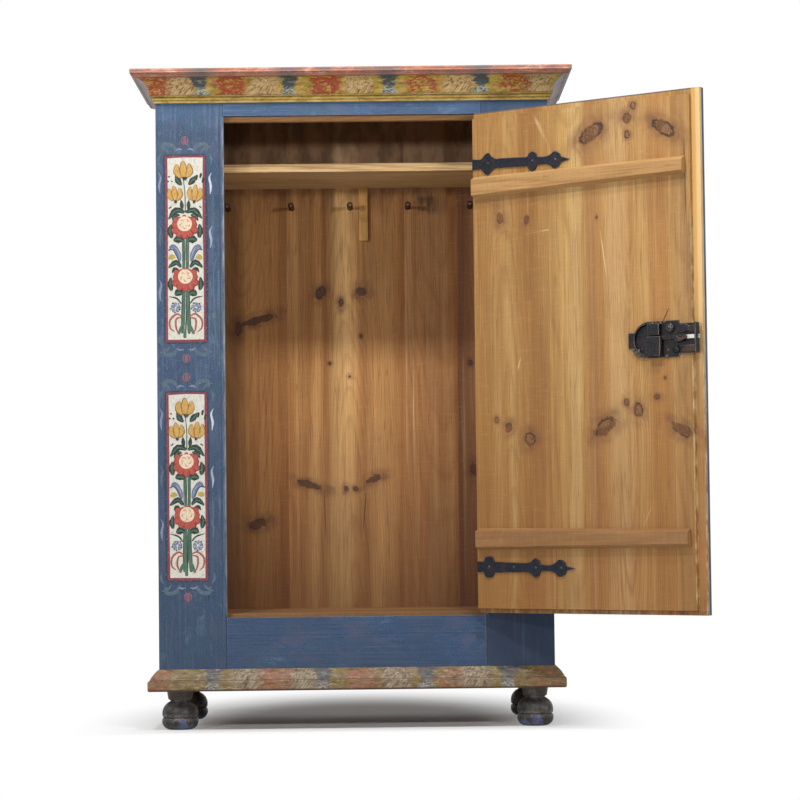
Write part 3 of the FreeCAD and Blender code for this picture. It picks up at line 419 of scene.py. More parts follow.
doorBoards = {
    "door_board_1": {
        "seed": 1.3, "pith": (0.235, 0.12, 1.0), "lean": (-2.4, 1.2), "pale": "b0854b", "warm": "9e6d33",
        "knots": [(260, 1361, 10, 15, 10), (176, 1351, 9, 13, -8), (173, 766, 15, 18, 5),
                  (241, 799, 10, 12, -20), (278, 821, 5, 8, 0)],
        "bands": [(160, 48, "946534", 0.55), (236, 26, "c7a266", 0.35)],
        "scratches": [(120, 1318, 62, 1.6, 6), (129, 1590, 5.0, 40, 28), (205, 968, 2.0, 16, -18),
                      (75, 800, 1.5, 30, 12)],
    },
    "door_board_2": {
        "seed": 4.1, "pith": (0.05, 0.4, 1.0), "lean": (1.0, 0.4), "pale": "c29959", "warm": "ac7f44",
        "knots": [(-27, 1562, 36, 18, 30)], "bands": [(30, 32, "d0ae76", 0.55), (98, 16, "a67d4a", 0.4)],
    },
    "door_board_3": {
        "seed": 7.7, "pith": (-0.135, 0.075, 1.0), "lean": (2.2, -0.5), "pale": "c59a5c", "warm": "ae7c43",
        "ringShare": 0.38, "ring": 4.6, "bend": 0.036,
        "knots": [(-27, 1562, 36, 18, 30), (-244, 1557, 34, 15, -32), (-156, 1623, 8, 9, 0),
                  (-136, 1590, 12, 13, 20), (-136, 1550, 7, 10, 0), (-58, 794, 34, 17, 32),
                  (-157, 833, 12, 18, 10), (-123, 855, 8, 9, 0), (-212, 865, 10, 6, 0),
                  (-41, 1341, 3, 4, 0), (-237, 913, 4, 4, 0), (-284, 779, 30, 13, -28)],
        "bands": [(-22, 26, "9c6d43", 0.6), (-105, 50, "d2ae78", 0.5), (-215, 42, "b57f46", 0.5)],
        "splits": [(-241, 1073, 1.5, 20, -30)],
        "scratches": [(-60, 1240, 1.6, 60, 8), (-180, 560, 1.5, 26, -25)],
    },
    "door_board_4": {
        "seed": 9.2, "pith": (-0.30, 0.3, 1.0), "lean": (1.5, 0.8), "pale": "ba9258", "warm": "a2743c",
        "knots": [(-284, 779, 30, 13, -28), (-244, 1557, 34, 15, -32)],
        "bands": [(-285, 16, "b08a5c", 0.4)], "splits": [(-304, 1420, 1.8, 100, 1)],
        "marks": doorMarks + lockSideMarks,
    },
}
doorFace, caseFace = ("Y", 0.0125, 0.0135), ("Y", 0.0215, 0.0225)  # where paint gives way to bare wood
for name, look in doorBoards.items():
    wood = {"shut": True, "marks": doorMarks, **look}
    wear(paintedBoard(name, wood, {"shut": True, "seed": look["seed"]}, doorFace), name)
battenLook = {"shut": True, "axes": ("Z", "Y", "X"), "pale": "cba26a", "warm": "b38650", "ringShare": 0.36}
wear(pineBoard("upperBatten", seed=2.2, pith=(1.47, 0.2, 0.0), lean=(0.5, 1.2), **battenLook),
     "door_batten_upper")
battenLook.update(pale="a98052", warm="8a613a")
wear(pineBoard("lowerBatten", seed=5.9, pith=(0.53, 0.2, 0.0), lean=(0.8, -1.0), **battenLook),
     "door_batten_lower")
print("door boards grained")

# back boards and the inside: never waxed, greyer above the shelf, darker low down, with painted shade at
# left
backMarks = [
    ("6f6353", 0.6, 0, ("Y", 0.474, 0.4775)),
    ("b8977a", 0.6, 0, ("Z", 1.50, 1.56), ("Y", 0.469, 0.466)),
    # painted shade along the left side, where the left stile shades the back
    ("3c2517", 0.55, 0, ("X", -0.30, -0.345)),
    ("4f3220", 0.6, 0, ("Z", 0.85, 0.3)),
    # painted shade: a mottled dark band just under the shelf
    ("4a2e1c", 0.5, 40, ("Z", 1.43, 1.50), ("Y", 0.469, 0.466)),
]
backBoards = {
    "back_board_1": {
        "seed": 11.4, "pith": (-0.33, 0.60, 0.9), "lean": (2.6, 1.0),
        "bands": [(-262, 34, "c08a52", 0.35), (-208, 16, "8a5228", 0.4)],
        "knots": [(-281, 1138, 42, 10, -16), (-286, 551, 24, 12, -15), (-338, 1113, 10, 18, 0)],
    },
    "back_board_2": {
        "seed": 14.9, "pale": "e0aa6a", "pith": (-0.02, 0.55, 0.9), "lean": (-2.8, -0.8),
        "splits": [(-92, 575, 1.1, 60, -2), (20, 585, 1.1, 60, 5)],
        "knots": [(-100, 1214, 12, 17, 30), (-41, 1185, 7, 12, 0), (18, 1218, 15, 13, 15),
                  (-136, 661, 32, 9, 16), (49, 677, 22, 9, -20), (-32, 650, 7, 8, 0), (-5, 648, 8, 6, 0),
                  (-75, 1010, 4, 4, 0), (-18, 972, 4, 4, 0), (16, 1090, 4, 5, 0)],
        "bands": [(-150, 26, "9a6634", 0.35), (-88, 20, "8f5c2f", 0.3), (-40, 52, "e2b877", 0.62),
                  (30, 24, "9f6a3a", 0.34), (100, 40, "a8743f", 0.3)],
    },
    "back_board_3": {
        "seed": 17.2, "pith": (0.25, 0.75, 0.9), "lean": (1.8, 0.4), "pale": "cfa06a",
        "bands": [(225, 40, "94623a", 0.3)], "scratches": [(165, 900, 1.5, 240, 0)],
        # a dark patch beside the fourth peg: partly stain, partly the peg's painted shadow
        "marks": backMarks + [("33200f", 0.7, 22, ("X", 0.165, 0.185), ("X", 0.245, 0.225),
                               ("Z", 1.435, 1.452), ("Z", 1.498, 1.486))],
    },
    "back_board_4": {
        "seed": 21.8, "pith": (0.42, 0.62, 0.9), "lean": (2.2, -1.4), "pale": "b88a60", "warm": "8f6040",
        "bands": [(302, 12, "6a4028", 0.6)], "knots": [(338, 700, 12, 18, 0), (330, 1010, 6, 8, 0)],
    },
}
backWood = {"pale": "cf985a", "warm": "a96c37", "late": "7d4a22", "knot": "5c3a24", "marks": backMarks,
            "toneShare": 0.95, "ringShare": 0.15, "heart": 0.04, "halo": 0.98, "torn": 1.5}
for name, look in backBoards.items():
    wear(pineBoard(name, **{**backWood, **look}), name)
shelfLook = {"axes": ("Y", "Z", "X"), "ringShare": 0.4, "ring": 8.0, "pale": "fbdca6", "warm": "e6bc82",
             "pith": (0.28, 1.40, 0.0), "lean": (1.0, 1.0)}
# painted shade on the underside of the shelf
wear(pineBoard("hatShelf", seed=23.0, marks=[("4e2f1a", 0.22, 0, ("Z", 1.5180, 1.5172))], **shelfLook),
     "hat_shelf")
floorLook = {**shelfLook, "pith": (0.25, 0.2, 0.0), "pale": "8a6742", "warm": "6c482a"}
wear(pineBoard("floorBoard", seed=26.0, **floorLook), "floor_board")
topLook = {**shelfLook, "pith": (0.22, 1.6, 0.0), "marks": [("8d8474", 0.6, 0, ("Z", 1.7775, 1.7788))]}
wear(pineBoard("topBoard", seed=29.0, **topLook), "top_board")
wear(pineBoard("shelfProp", seed=31.0, pith=(0.02, 0.7, 1.4), pale="efbb6c", warm="daa052"), "shelf_prop")
wear(pineBoard("cleats", seed=33.0, axes=("Z", "X", "Y"), pith=(1.4, 0.6, 0.2)), "shelf_cleat_left",
     "shelf_cleat_right", "floor_cleat_left", "floor_cleat_right", "base_runner_left", "base_runner_right")
wear(pineBoard("stopStrip", seed=36.0, axes=("Z", "Y", "X"), pith=(1.5, 0.3, 0.0), pale="b98a58",
               warm="8a5c34"), "door_stop_strip", "base_rail_front")
print("inside grained")

# blue case
stileWood = {"pale": "c4925a", "warm": "a06a38"}
# the right stile is painted darker: painted shade cast by the open door
paintedDoorShade = {-1: {}, 1: {"mid": "22324a", "light": "43556e", "bruise": "2d384e", "chalk": "56677d"}}
for side, name in ((-1, "left"), (1, "right")):
    wood = {"seed": 40.0 + side, "pith": (side * 0.44, 0.2, 1.0), **stileWood}
    coat = {"seed": 3.0 + side, **paintedDoorShade[side], "arris": ("X", side * 0.348, side)}
    wear(paintedBoard("stile_" + name, wood, coat, caseFace), "front_stile_" + name)
    wood = {"seed": 44.0 + side, "axes": ("Y", "X", "Z"), "pith": (0.25, side * 0.9, 1.0), **stileWood}
    coat = {"seed": 8.0 + side, "axes": ("Y", "X", "Z")}
    wear(paintedBoard("side_" + name, wood, coat, ("X", side * 0.5305, side * 0.5295)),
         "side_board_" + name)
railCoat = {"axes": ("Z", "Y", "X"), "streak": (5.0, 260.0)}
rails = {
    "frieze_rail": ("frieze", 48.0, {"seed": 13.0, "mid": "324765", "light": "577091"}),
    "bottom_rail": ("bottomRail", 50.0, {"seed": 16.0, "mid": "324d70"}),
}
for rail, (name, seed, coat) in rails.items():
    wood = {"seed": seed, "axes": ("Z", "Y", "X"), **stileWood}
    wear(paintedBoard(name, wood, {**coat, **railCoat}, caseFace), rail)
print("case painted")

# distemper on the mouldings, marbled while wet: ink, red and combed beige patches bleed into a yellow
# ground, worn along the corners
marble = {
    "cornice": {
        "foot": 1.7132, "rise": 0.044, "seed": 2.0, "dust": 0.06,
        "lines": (1.7132, 1.7093, 1.7004, 1.7575, 1.7625, 1.7665, 1.7735), "flecks": 0.5,
        "ground": ("9a8b34", "cdac42", "caa566"), "ink": "2b4746", "dot": "33465a", "light": "bcc4b4",
        "red": "a53f27", "cream": "cca976", "brown": "60401f", "pale": "e0cb94",
    },
    "plinth": {
        "foot": 0.105, "rise": 0.056, "seed": 5.0, "dust": 0.4, "lines": (0.1336,), "flecks": 0.75,
        "ground": ("645028", "806d34", "7d6547"), "ink": "464c54", "dot": "3d434e", "light": "9b9a92",
        "red": "8a5137", "cream": "877560", "brown": "3a2817", "pale": "b0a48c",
    },
    "fascia": ("8a766f", "b37661", "c2826c", "d6a28c"), "bead": ("a5863f", "cba84e", "dcc072"),
    "quirk": "3f2a1a", "duskyTone": "7d6f60", "bare": "b9a185", "returnTint": "aaa5b4",
    "cloud": "6f6c6d", "rub": "8a4a38", "corner": 0.003, "dustPatch": 28.0,
    # heights in metres
    "fasciaFrom": (1.7555, 1.7585), "beadBelow": (1.7140, 1.7125), "edgeShadeAndDirtBelow": (0.1140, 0.1105),
    # mm, and metres for the comb
    "mottle": 40.0, "grain": 7.5, "scroll": 26.0, "fleck": 16.0, "comb": (0.0046, 0.0046, 0.030),
    "runs": {  # where each colour was dabbed, in metres along the run
        "cornice_front": {"ink": (-0.411, -0.169, 0.102, 0.351),
                          "red": (-0.537, -0.326, -0.070, 0.196, 0.443),
                          "comb": (-0.468, -0.237, 0.020, 0.289, 0.505)},
        "plinth_front": {"ink": (-0.387, -0.091, 0.187, 0.404),
                         "red": (-0.545, -0.222, 0.014, 0.245, 0.512),
                         "comb": (-0.290, -0.150, 0.105, 0.318)},
        "sides": {"ink": (0.095, 0.350), "red": (0.015, 0.180, 0.435), "comb": (-0.040, 0.260)},
    },
}


def marbledPaint(name, axis, where, run):
    look = marble[where]
    material = newMaterial("marbledPaint_" + name)
    spot = lieOf(False)
    parts = put("SeparateXYZ", spot)
    z = parts.outputs["Z"]
    shifted = shift(spot, (look["seed"], look["seed"] * 2, look["seed"] * 3))
    drawn = drawOut(shifted, {"X": (1.0, 1.6, 2.2), "Y": (1.6, 1.0, 2.2)}[axis])

    def noise(size, detail=4.0, **settings):
        return noiseAt(drawn, 1000 / size, detail, 0.6, **settings)

    smear, fine = noise(marble["mottle"], Distortion=0.7), noise(marble["grain"])
    moved = timesPlus(smear, 0.05, timesPlus(fine, 0.026, parts.outputs[axis]))
    foot = look["foot"] + 0.006
    level = ease(timesPlus(fine, 0.012, z), foot, foot + look["rise"])

    def nearest(kind):  # distance along the run to the closest patch of that colour
        best = None
        for middle in run[kind]:
            off = apart(moved, middle + 0.038)
            best = off if best is None else least(best, off)
        return best

    colour = shades(smear, (0.36, 0.5, 0.62), look["ground"])
    colour = cover(colour, look["brown"], ease(fine, 0.5, 0.7, 0.5))
    smeared = ease(apart(level, 0.56), 0.2, 0.04, 0.4)
    colour = cover(colour, look["brown"], times(smeared, ease(smear, 0.42, 0.56)))
    slant = {"X": (0.0, math.radians(36), 0.0), "Y": (math.radians(36), 0.0, 0.0)}[axis]
    combAt = put("Mapping", shifted, vector_type="TEXTURE", Rotation=slant, Scale=marble["comb"])
    combed = noiseAt(combAt, 1.0, 3.0, 0.6)
    beige = cover(look["cream"], look["brown"], ease(combed, 0.47, 0.38, 0.85))
    beige = cover(beige, look["pale"], ease(combed, 0.54, 0.64, 0.8))
    colour = cover(colour, beige, ease(nearest("comb"), 0.046, 0.03, 0.92))
    scroll = noise(marble["scroll"], 2.0, Distortion=2.2)
    scroll = minus(scroll, ease(parts.outputs[axis], 0.0, 0.2, 0.07))  # thinner towards the right
    redFac = times(ease(nearest("red"), 0.05, 0.032, 0.95), ease(scroll, 0.4, 0.48))
    colour = cover(colour, look["red"], redFac)
    waist = timesPlus(apart(level, 0.4), 0.02, 0.013)
    inkFac = ease(ratio(nearest("ink"), waist), 1.3, 0.85, 0.94)
    dotted = cover(look["light"], look["dot"], ease(fine, 0.47, 0.55, 0.9))
    dark = cover(look["ink"], look["dot"], ease(smear, 0.4, 0.6))
    colour = cover(colour, cover(dotted, dark, ease(level, 0.3, 0.5)), inkFac)
    speck = drawOut(drawn, {"X": (0.75, 1.0, 0.8), "Y": (1.0, 0.75, 0.8)}[axis])
    speck = noiseAt(speck, 1000 / marble["fleck"], 5.0, 0.7)
    colour = cover(colour, look["brown"], ease(speck, 0.48, 0.36, look["flecks"]))
    colour = cover(colour, look["pale"], ease(speck, 0.55, 0.67, look["flecks"]))
    if where == "cornice":
        # salmon fascia over the cove, clouded grey above each ink patch, and a yellow bead below
        fascia = shades(smear, (0.36, 0.46, 0.56, 0.66), marble["fascia"])
        fascia = cover(fascia, marble["cloud"], ease(nearest("ink"), 0.055, 0.01, 0.75))
        fascia = cover(fascia, marble["rub"], ease(fine, 0.5, 0.7, 0.5))
        colour = cover(colour, fascia, ease(z, *marble["fasciaFrom"]))
        bead = shades(smear, (0.36, 0.5, 0.64), marble["bead"])
        colour = cover(colour, bead, ease(z, *marble["beadBelow"]))
    if where == "cornice" and axis == "Y":  # the returns are tinted lilac grey
        colour = cover(colour, marble["returnTint"], span(smear, 0.34, 0.6, 0.35, 0.85))
    for line in look["lines"]:  # dark lines in the quirks: painted shade in the grooves, with dirt
        quirk = ease(apart(z, line), 0.0019, 0.0006, 0.75)
        quirk = times(quirk, span(fine, 0.36, 0.56, 1.0, 0.3))
        colour = cover(colour, marble["quirk"], quirk)
    colour = cover(colour, marble["duskyTone"], ease(noise(marble["dustPatch"]), 0.42, 0.6, look["dust"]))
    _, facing = cornerOf(marble["corner"])
    rubbed = times(ease(facing, 0.99, 0.84), ease(fine, 0.42, 0.6, 0.8))
    colour = cover(colour, marble["bare"], rubbed)
    if where == "plinth":  # the lower edge is blackened: painted shade along the underside, with floor dirt
        lowEdge = timesPlus(smear, 0.004, z)
        colour = cover(colour, marble["quirk"], ease(lowEdge, *marble["edgeShadeAndDirtBelow"], 0.85))
    dress(colour, span(smear, 0.3, 0.7, 0.45, 0.66), fine, depth=0.0008)
    return material


for where in ("cornice", "plinth"):
    wear(marbledPaint(where + "Front", "X", where, marble["runs"][where + "_front"]), where + "_front")
    sides = marbledPaint(where + "Sides", "Y", where, marble["runs"]["sides"])
    wear(sides, where + "_left", where + "_right")
print("mouldings marbled")

# feet: turned softwood under dark paint, scuffed brown by brooms and shoes, and blue low down where an older
# coat shows
footLook = {"paint": "474543", "deep": "1e2023", "grey": "6b645d", "blue": "4f5a86", "scuff": "5b4334",
            "dust": "8d7f72", "patch": 26.0, "grit": 3.5, "groove": 0.0325, "neck": (0.078, 0.084),
            "low": (0.034, 0.030), "bare": "8a735e", "corner": 0.004}
material = newMaterial("scuffedFootPaint")
spot = lieOf(False)
z = put("SeparateXYZ", spot).outputs["Z"]
patch = noiseAt(spot, 1000 / footLook["patch"], 4.0, 0.6)
grit = noiseAt(spot, 1000 / footLook["grit"], 3.0)
tones = [footLook[tone] for tone in ("scuff", "deep", "paint", "grey")]
colour = shades(patch, (0.3, 0.4, 0.54, 0.68), tones)
low = times(ease(z, *footLook["low"], 0.8), ease(patch, 0.5, 0.58))
colour = cover(colour, footLook["blue"], low)
high = times(ease(z, *footLook["neck"], 0.7), span(patch, 0.4, 0.55, 1.0, 0.2))
colour = cover(colour, footLook["scuff"], high)
colour = cover(colour, footLook["deep"], ease(grit, 0.45, 0.7, 0.6))
groove = ease(apart(z, footLook["groove"]), 0.012, 0.003, 0.9)
groove = times(groove, ease(grit, 0.48, 0.6, 0.8))
colour = cover(colour, footLook["dust"], groove)
_, facing = cornerOf(footLook["corner"])
rubbed = times(ease(facing, 0.99, 0.85), ease(grit, 0.4, 0.6, 0.8))
colour = cover(colour, footLook["bare"], rubbed)
dress(colour, span(patch, 0.3, 0.7, 0.6, 0.4), grit, depth=0.0008)
wear(material, "foot_front_left", "foot_front_right", "foot_rear_left", "foot_rear_right")

# pegs: turned and handled hardwood, dark and a little shiny
pegLook = {"dark": "2b1a10", "brown": "54341d", "end": "86705a", "ring": 4.0, "along": 25.0}
material = newMaterial("turnedHardwoodPegs")
spot = lieOf(False)
stretch = drawOut(spot, (1000 / pegLook["ring"], 1000 / pegLook["along"], 1000 / pegLook["ring"]))
figure = noiseAt(stretch, 1.0, 3.0)
colour = shades(figure, (0.35, 0.65), (pegLook["dark"], pegLook["brown"]))
outward = put("SeparateXYZ", put("NewGeometry").outputs["Normal"]).outputs["Y"]
colour = cover(colour, pegLook["end"], ease(outward, -0.86, -0.97, 0.7))  # the ends, which face the front, are paler
dress(colour, span(figure, 0.3, 0.7, 0.35, 0.5), figure)
wear(material, "clothes_pegs")

# forged iron: hammered black with scale, rust in the pits, rubbed brighter on the edges, partly a painted
# highlight
ironLook = {"forged": ("13151c", "262934"), "handled": ("0a0a0c", "27272b"), "rust": "3a2a22",
            "bright": "84807b", "slidAndGlinting": "cfccc6", "hammer": 9.0, "pit": 4.8, "crust": "4c3428",
            "cloud": 38.0, "slidAndGlintFrom": (-0.303, -0.309), "relief": 0.5, "depth": 0.0008, "metal": 0.75}


def forgedIron(name, bare, rim=0.0018, shine=0.55, rust=ironLook["rust"], rustShare=0.5,
               tones=ironLook["forged"]):
    material = newMaterial(name)
    spot = lieOf(False)
    hammer = put("TexVoronoi", Vector=spot, Scale=1000 / ironLook["hammer"], feature="SMOOTH_F1",
                 Smoothness=0.8)
    pit = noiseAt(spot, 1000 / ironLook["pit"], 4.0, 0.7)
    cloud = noiseAt(spot, ironLook["cloud"], 3.0)
    colour = shades(pit, (0.35, 0.6), tones)
    start = 0.55 - rustShare * 0.1
    colour = cover(colour, rust, ease(cloud, start, start + 0.17, rustShare))
    soft, facing = cornerOf(rim)
    rubbed = times(ease(facing, 0.99, 0.82, shine), span(cloud, 0.35, 0.6, 0.5, 1.0))
    colour = cover(colour, ironLook["bright"], rubbed)
    if bare:  # filed and slid bright towards the tip, with a painted highlight there
        tip = ease(put("SeparateXYZ", lieOf(True)), *ironLook["slidAndGlintFrom"], 0.95)
        colour = cover(colour, ironLook["slidAndGlinting"], times(tip, span(pit, 0.35, 0.65, 1.0, 0.6)))
    height = timesPlus(pit, 0.35, hammer)
    relief = put("Bump", Strength=ironLook["relief"], Distance=ironLook["depth"], Height=height, Normal=soft)
    rough = span(pit, 0.3, 0.7, 0.3 if bare else 0.36, 0.5 if bare else 0.6)
    shader = put("BsdfPrincipled", Base_Color=colour, Roughness=rough, Normal=relief,
                 Metallic=ironLook["metal"])
    put("OutputMaterial", shader)
    return material


wear(forgedIron("forgedBlackIron", False), "strap_hinge_upper", "strap_hinge_lower", "lock_escutcheon",
     "hinge_pintle_upper", "hinge_pintle_lower", "bolt_keeper")
# the nail heads are rubbed bright nearly all over: worn iron, and a painted highlight
wear(forgedIron("nailIronRubbedAndHighlighted", False, 0.004, 1.0), "strap_nails_upper", "strap_nails_lower",
     "pintle_nails")
# the lock's rims are rubbed bright: worn iron, and painted highlight lines
highlightedLockIron = forgedIron("lockIronHandledAndHighlighted", False, 0.0032, 1.0, tones=ironLook["handled"])
wear(highlightedLockIron, "lock_plate", "lock_bridge", "lock_tumbler_box", "lock_spring", "lock_screws")
wear(forgedIron("filedIronBoltWithGlint", True, tones=ironLook["handled"]), "lock_bolt")
# the loose works of the lock, drawn shut like the door and swung with it: rosette, levers, rivets, and
# crumbs of packed dust
rustyIron = forgedIron("rustyLeverIron", False, 0.002, 0.9, ironLook["crust"], 0.75, ironLook["handled"])
dustLook = {"light": "857a6c", "deep": "3f372f", "grain": 3.0}
packedDust = newMaterial("packedDust")
grain = noiseAt(lieOf(False), 1000 / dustLook["grain"], 4.0, 0.7)
colour = shades(grain, (0.38, 0.62), (dustLook["deep"], dustLook["light"]))
dress(colour, span(grain, 0.3, 0.7, 0.8, 0.95), grain, depth=0.001)
lockWorks = {  # millimetres in the shut door: across, height, then sizes
    "plate": 34.5,
    "turned": [((-257, 1040), [(12, 0), (12, 5), (9, 7.5), (5, 6.5), (3.5, 10), (0.3, 11)]),
               ((-193, 1013), [(4, 0), (4, 9), (2.4, 11), (0.3, 11.6)]),
               ((-274, 984), [(10, 0), (9.5, 4), (6, 7.5), (0.3, 9)]),
               ((-300, 1042), [(5, 0), (4.6, 3), (0.3, 4.6)])],
    "levers": [([(-276, 1030), (-286, 1046), (-300, 1049), (-318, 1042), (-334, 1044), (-334, 1027),
                 (-312, 1030), (-296, 1026)], 0, 7),
               ([(-272, 1003), (-280, 1017), (-292, 1012), (-306, 1019), (-308, 1012), (-296, 1005),
                 (-288, 1004)], 8.5, 12.5),
               ([(-284, 994), (-334, 994), (-334, 979), (-318, 976), (-290, 978)], 0, 4.5)],
    "crumbs": [((-150, 987), 6.0), ((-158, 980), 7.5), ((-167, 974), 7.0), ((-176, 971), 6.0),
               ((-163, 985), 5.0), ((-186, 969), 4.5), ((-205, 1053), 4.5), ((-216, 1056), 4.0),
               ((-228, 1054), 5.0), ((-240, 1056), 3.5), ((-222, 968), 4.0), ((-246, 968), 4.5)],
}


def looseWork(name, material, build):
    mesh = bmesh.new()
    build(mesh, lambda x, y, z: mesh.verts.new(openTurn @ (Vector((x, lockWorks["plate"] + y, z)) / 1000)))
    bmesh.ops.recalc_face_normals(mesh, faces=mesh.faces)
    data = meshOf(name, mesh)
    data.materials.append(material)
    piece = newPiece(name, data)
    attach(piece, "door")


def around(x, y, reach, angle):
    return x + reach * math.cos(angle), y + reach * math.sin(angle)


def stitch(mesh, rings):
    for low, high in zip(rings, rings[1:]):
        for j in range(len(low)):
            mesh.faces.new((low[j - 1], low[j], high[j], high[j - 1]))
    mesh.faces.new(rings[-1])


def turnedBits(mesh, spot):
    for (x, z), profile in lockWorks["turned"]:
        rings = []
        for r, y in profile:
            circle = [around(x, z, r, k * math.pi / 9) for k in range(18)]
            rings.append([spot(u, y, v) for u, v in circle])
        stitch(mesh, rings)


def leverBits(mesh, spot):
    for outline, low, high in lockWorks["levers"]:
        middle = sum((Vector(p) for p in outline), Vector((0, 0))) / len(outline)
        rings = []
        for y, share in ((low, 1.0), (high - 1, 1.0), (high, 0.93)):  # filed corners
            corners = [middle + (Vector(p) - middle) * share for p in outline]
            rings.append([spot(p.x, y, p.y) for p in corners])
        stitch(mesh, rings)


def dustCrumbs(mesh, spot):
    hand = random.Random(5)
    for (x, z), size in lockWorks["crumbs"]:
        rings = []
        for level in (0.0, 0.35, 0.7, 0.92):
            reach = size * math.sqrt(1 - level * level)
            ring = []
            for k in range(10):
                u = x + reach * hand.uniform(0.65, 1.15) * math.cos(k * math.pi / 5)
                y = level * size * hand.uniform(0.8, 1.2)
                ring.append(spot(u, y, z + reach * hand.uniform(0.65, 1.15) * math.sin(k * math.pi / 5)))
            rings.append(ring)
        stitch(mesh, rings)


looseWork("lock_rosette_and_rivets", highlightedLockIron, turnedBits)
looseWork("lock_levers", rustyIron, leverBits)
looseWork("lock_dust_crumbs", packedDust, dustCrumbs)
print("ironwork blackened")

# folk painting in oil colours, stroke by stroke: each stroke is a thin crowned ribbon with bristle lines
paints = {
    "creamGround": ("d5d2c8", "c0bdb0"), "borderRed": ("873a47", "6b2e3b"),
    "petalYellow": ("b78c45", "c7a45e"), "petalOrange": ("956430", "7f5429"),
    "roseRed": ("a03e35", "b25547"), "roseDeep": ("6b2a26", "7c322c"),
    "roseCream": ("e2d0b6", "d5bca0"), "rosePink": ("bd8a72", "a39675"),
    "leafDark": ("1d2f27", "15211b"), "leafLight": ("476a5a", "2e483c"),
    "stemGreen": ("527661", "2b4537"), "slateBlue": ("727c9c", "515b7c"),
    "budYellow": ("b5a24a", "a08c40"), "bowRed": ("a85a48", "8f4a3b"),
    "greyStroke": ("a7b0bc", "8492a6"), "lilacStroke": ("7f86a2", "6d7694"),
    "panelHalo": ("2b3850", "243147"), "sealRed": ("a4472e", "b85c3c"),
    "dustPale": ("a39682", "8f8370"), "mossStroke": ("50636f", "475b6c"),
    "chalkStroke": ("cdd4da", "a9b4c0"), "faintRed": ("85525e", "725363"),
}
bristle = {
    "line": 1.6, "length": 26.0, "wear": 6.0,  # mm; bristle lines are drawn a little wide
    # m: of a stroke, from layer to layer, and off the wood
    "crown": 0.00016, "step": 0.0002, "lift": 0.00006,
    "relief": 0.4, "depth": 0.0003,
    "pool": 95.0,  # how many to a metre
    "grime": "6b675c", "thin": "c9c2ae", "soot": "3a3832",
}


def folkPaint(name):
    body, streakColour = paints[name]
    material = newMaterial("brushedOilPaint_" + name)
    stroke = put("TexCoord").outputs["UV"]
    spot = put("TexCoord").outputs["Object"]
    hairAt = drawOut(stroke, (1000 / bristle["length"], 1000 / bristle["line"], 1.0))
    hair = noiseAt(hairAt, 1.0, 3.0, 0.6)
    pool = noiseAt(spot, bristle["pool"], 3.0)
    colour = cover(body, streakColour, ease(hair, 0.35, 0.65, 0.85))
    colour = cover(colour, bristle["grime"], ease(pool, 0.52, 0.74, 0.32))
    worn = noiseAt(spot, 1000 / bristle["wear"], 4.0, 0.7)
    colour = cover(colour, bristle["thin"], ease(worn, 0.57, 0.7, 0.28))
    colour = cover(colour, bristle["soot"], ease(worn, 0.44, 0.32, 0.4))
    relief = put("Bump", Strength=bristle["relief"], Distance=bristle["depth"], Height=hair)
    coated(colour, span(pool, 0.3, 0.7, 0.4, 0.6), relief)
    return material


paintPots = {name: folkPaint(name) for name in paints}
potOrder = list(paintPots)


def smoothLine(points, count):
    line = []
    for k in range(count + 1):
        s = (0.5 - 0.5 * math.cos(math.pi * k / count)) * (len(points) - 1)  # closer together at both ends
        i = min(int(s), len(points) - 2)
        t = s - i
        a, b, c, d = (Vector(points[min(max(j, 0), len(points) - 1)]) for j in (i - 1, i, i + 1, i + 2))
        bend, twist = 2 * a - 5 * b + 4 * c - d, 3 * b - a - 3 * c + d
        line.append(0.5 * (2 * b + (c - a) * t + bend * t * t + twist * t ** 3))
    return line


def brush(sheet, paint, points, widths, layer, square=False):
    # a stroke in panel millimetres: round ends unless square, fatter in the middle where widths say so
    line = smoothLine(points, 10 if len(points) < 4 else 16)
    runs = [0.0]
    for a, b in zip(line, line[1:]):
        runs.append(runs[-1] + (b - a).length)
    total = max(runs[-1], 0.001)
    shiftU, shiftV = sheet["hand"].uniform(0, 9), sheet["hand"].uniform(0, 9)
    rows = []
    for k, point in enumerate(line):
        ahead = line[min(k + 1, len(line) - 1)] - line[max(k - 1, 0)]
        aside = Vector((-ahead.y, ahead.x)).normalized()
        s = runs[k] / total * (len(widths) - 1)
        i = min(int(s), len(widths) - 2)
        blend = (s - i) * (s - i) * (3 - 2 * (s - i))
        half = (widths[i] * (1 - blend) + widths[i + 1] * blend) / 2
        near = min(runs[k], total - runs[k])
        if not square and near < half:
            half *= math.sqrt(max(0.0, 1 - (1 - near / half) ** 2))
        half = max(half, 0.15)
        row = []
        for part in (-1.0, -0.6, 0.0, 0.6, 1.0):
            spot = point + aside * half * part
            height = bristle["lift"] + layer * bristle["step"] + bristle["crown"] * (1 - part * part)
            vertex = sheet["mesh"].verts.new(sheet["place"](spot.x, spot.y, height))
            row.append((vertex, (runs[k] / 1000 + shiftU, half * part / 1000 + shiftV)))
        rows.append(row)
    for low, high in zip(rows, rows[1:]):
        for j in range(4):
            corners = [low[j], low[j + 1], high[j + 1], high[j]]
            face = sheet["mesh"].faces.new([c[0] for c in corners])
            face.material_index = potOrder.index(paint)
            face.smooth = True
            for loop, corner in zip(face.loops, corners):
                loop[sheet["uv"]].uv = corner[1]


def newSheet(place, seed, outward):
    mesh = bmesh.new()
    return {"mesh": mesh, "uv": mesh.loops.layers.uv.new("stroke"), "place": place,
            "hand": random.Random(seed), "outward": Vector(outward)}


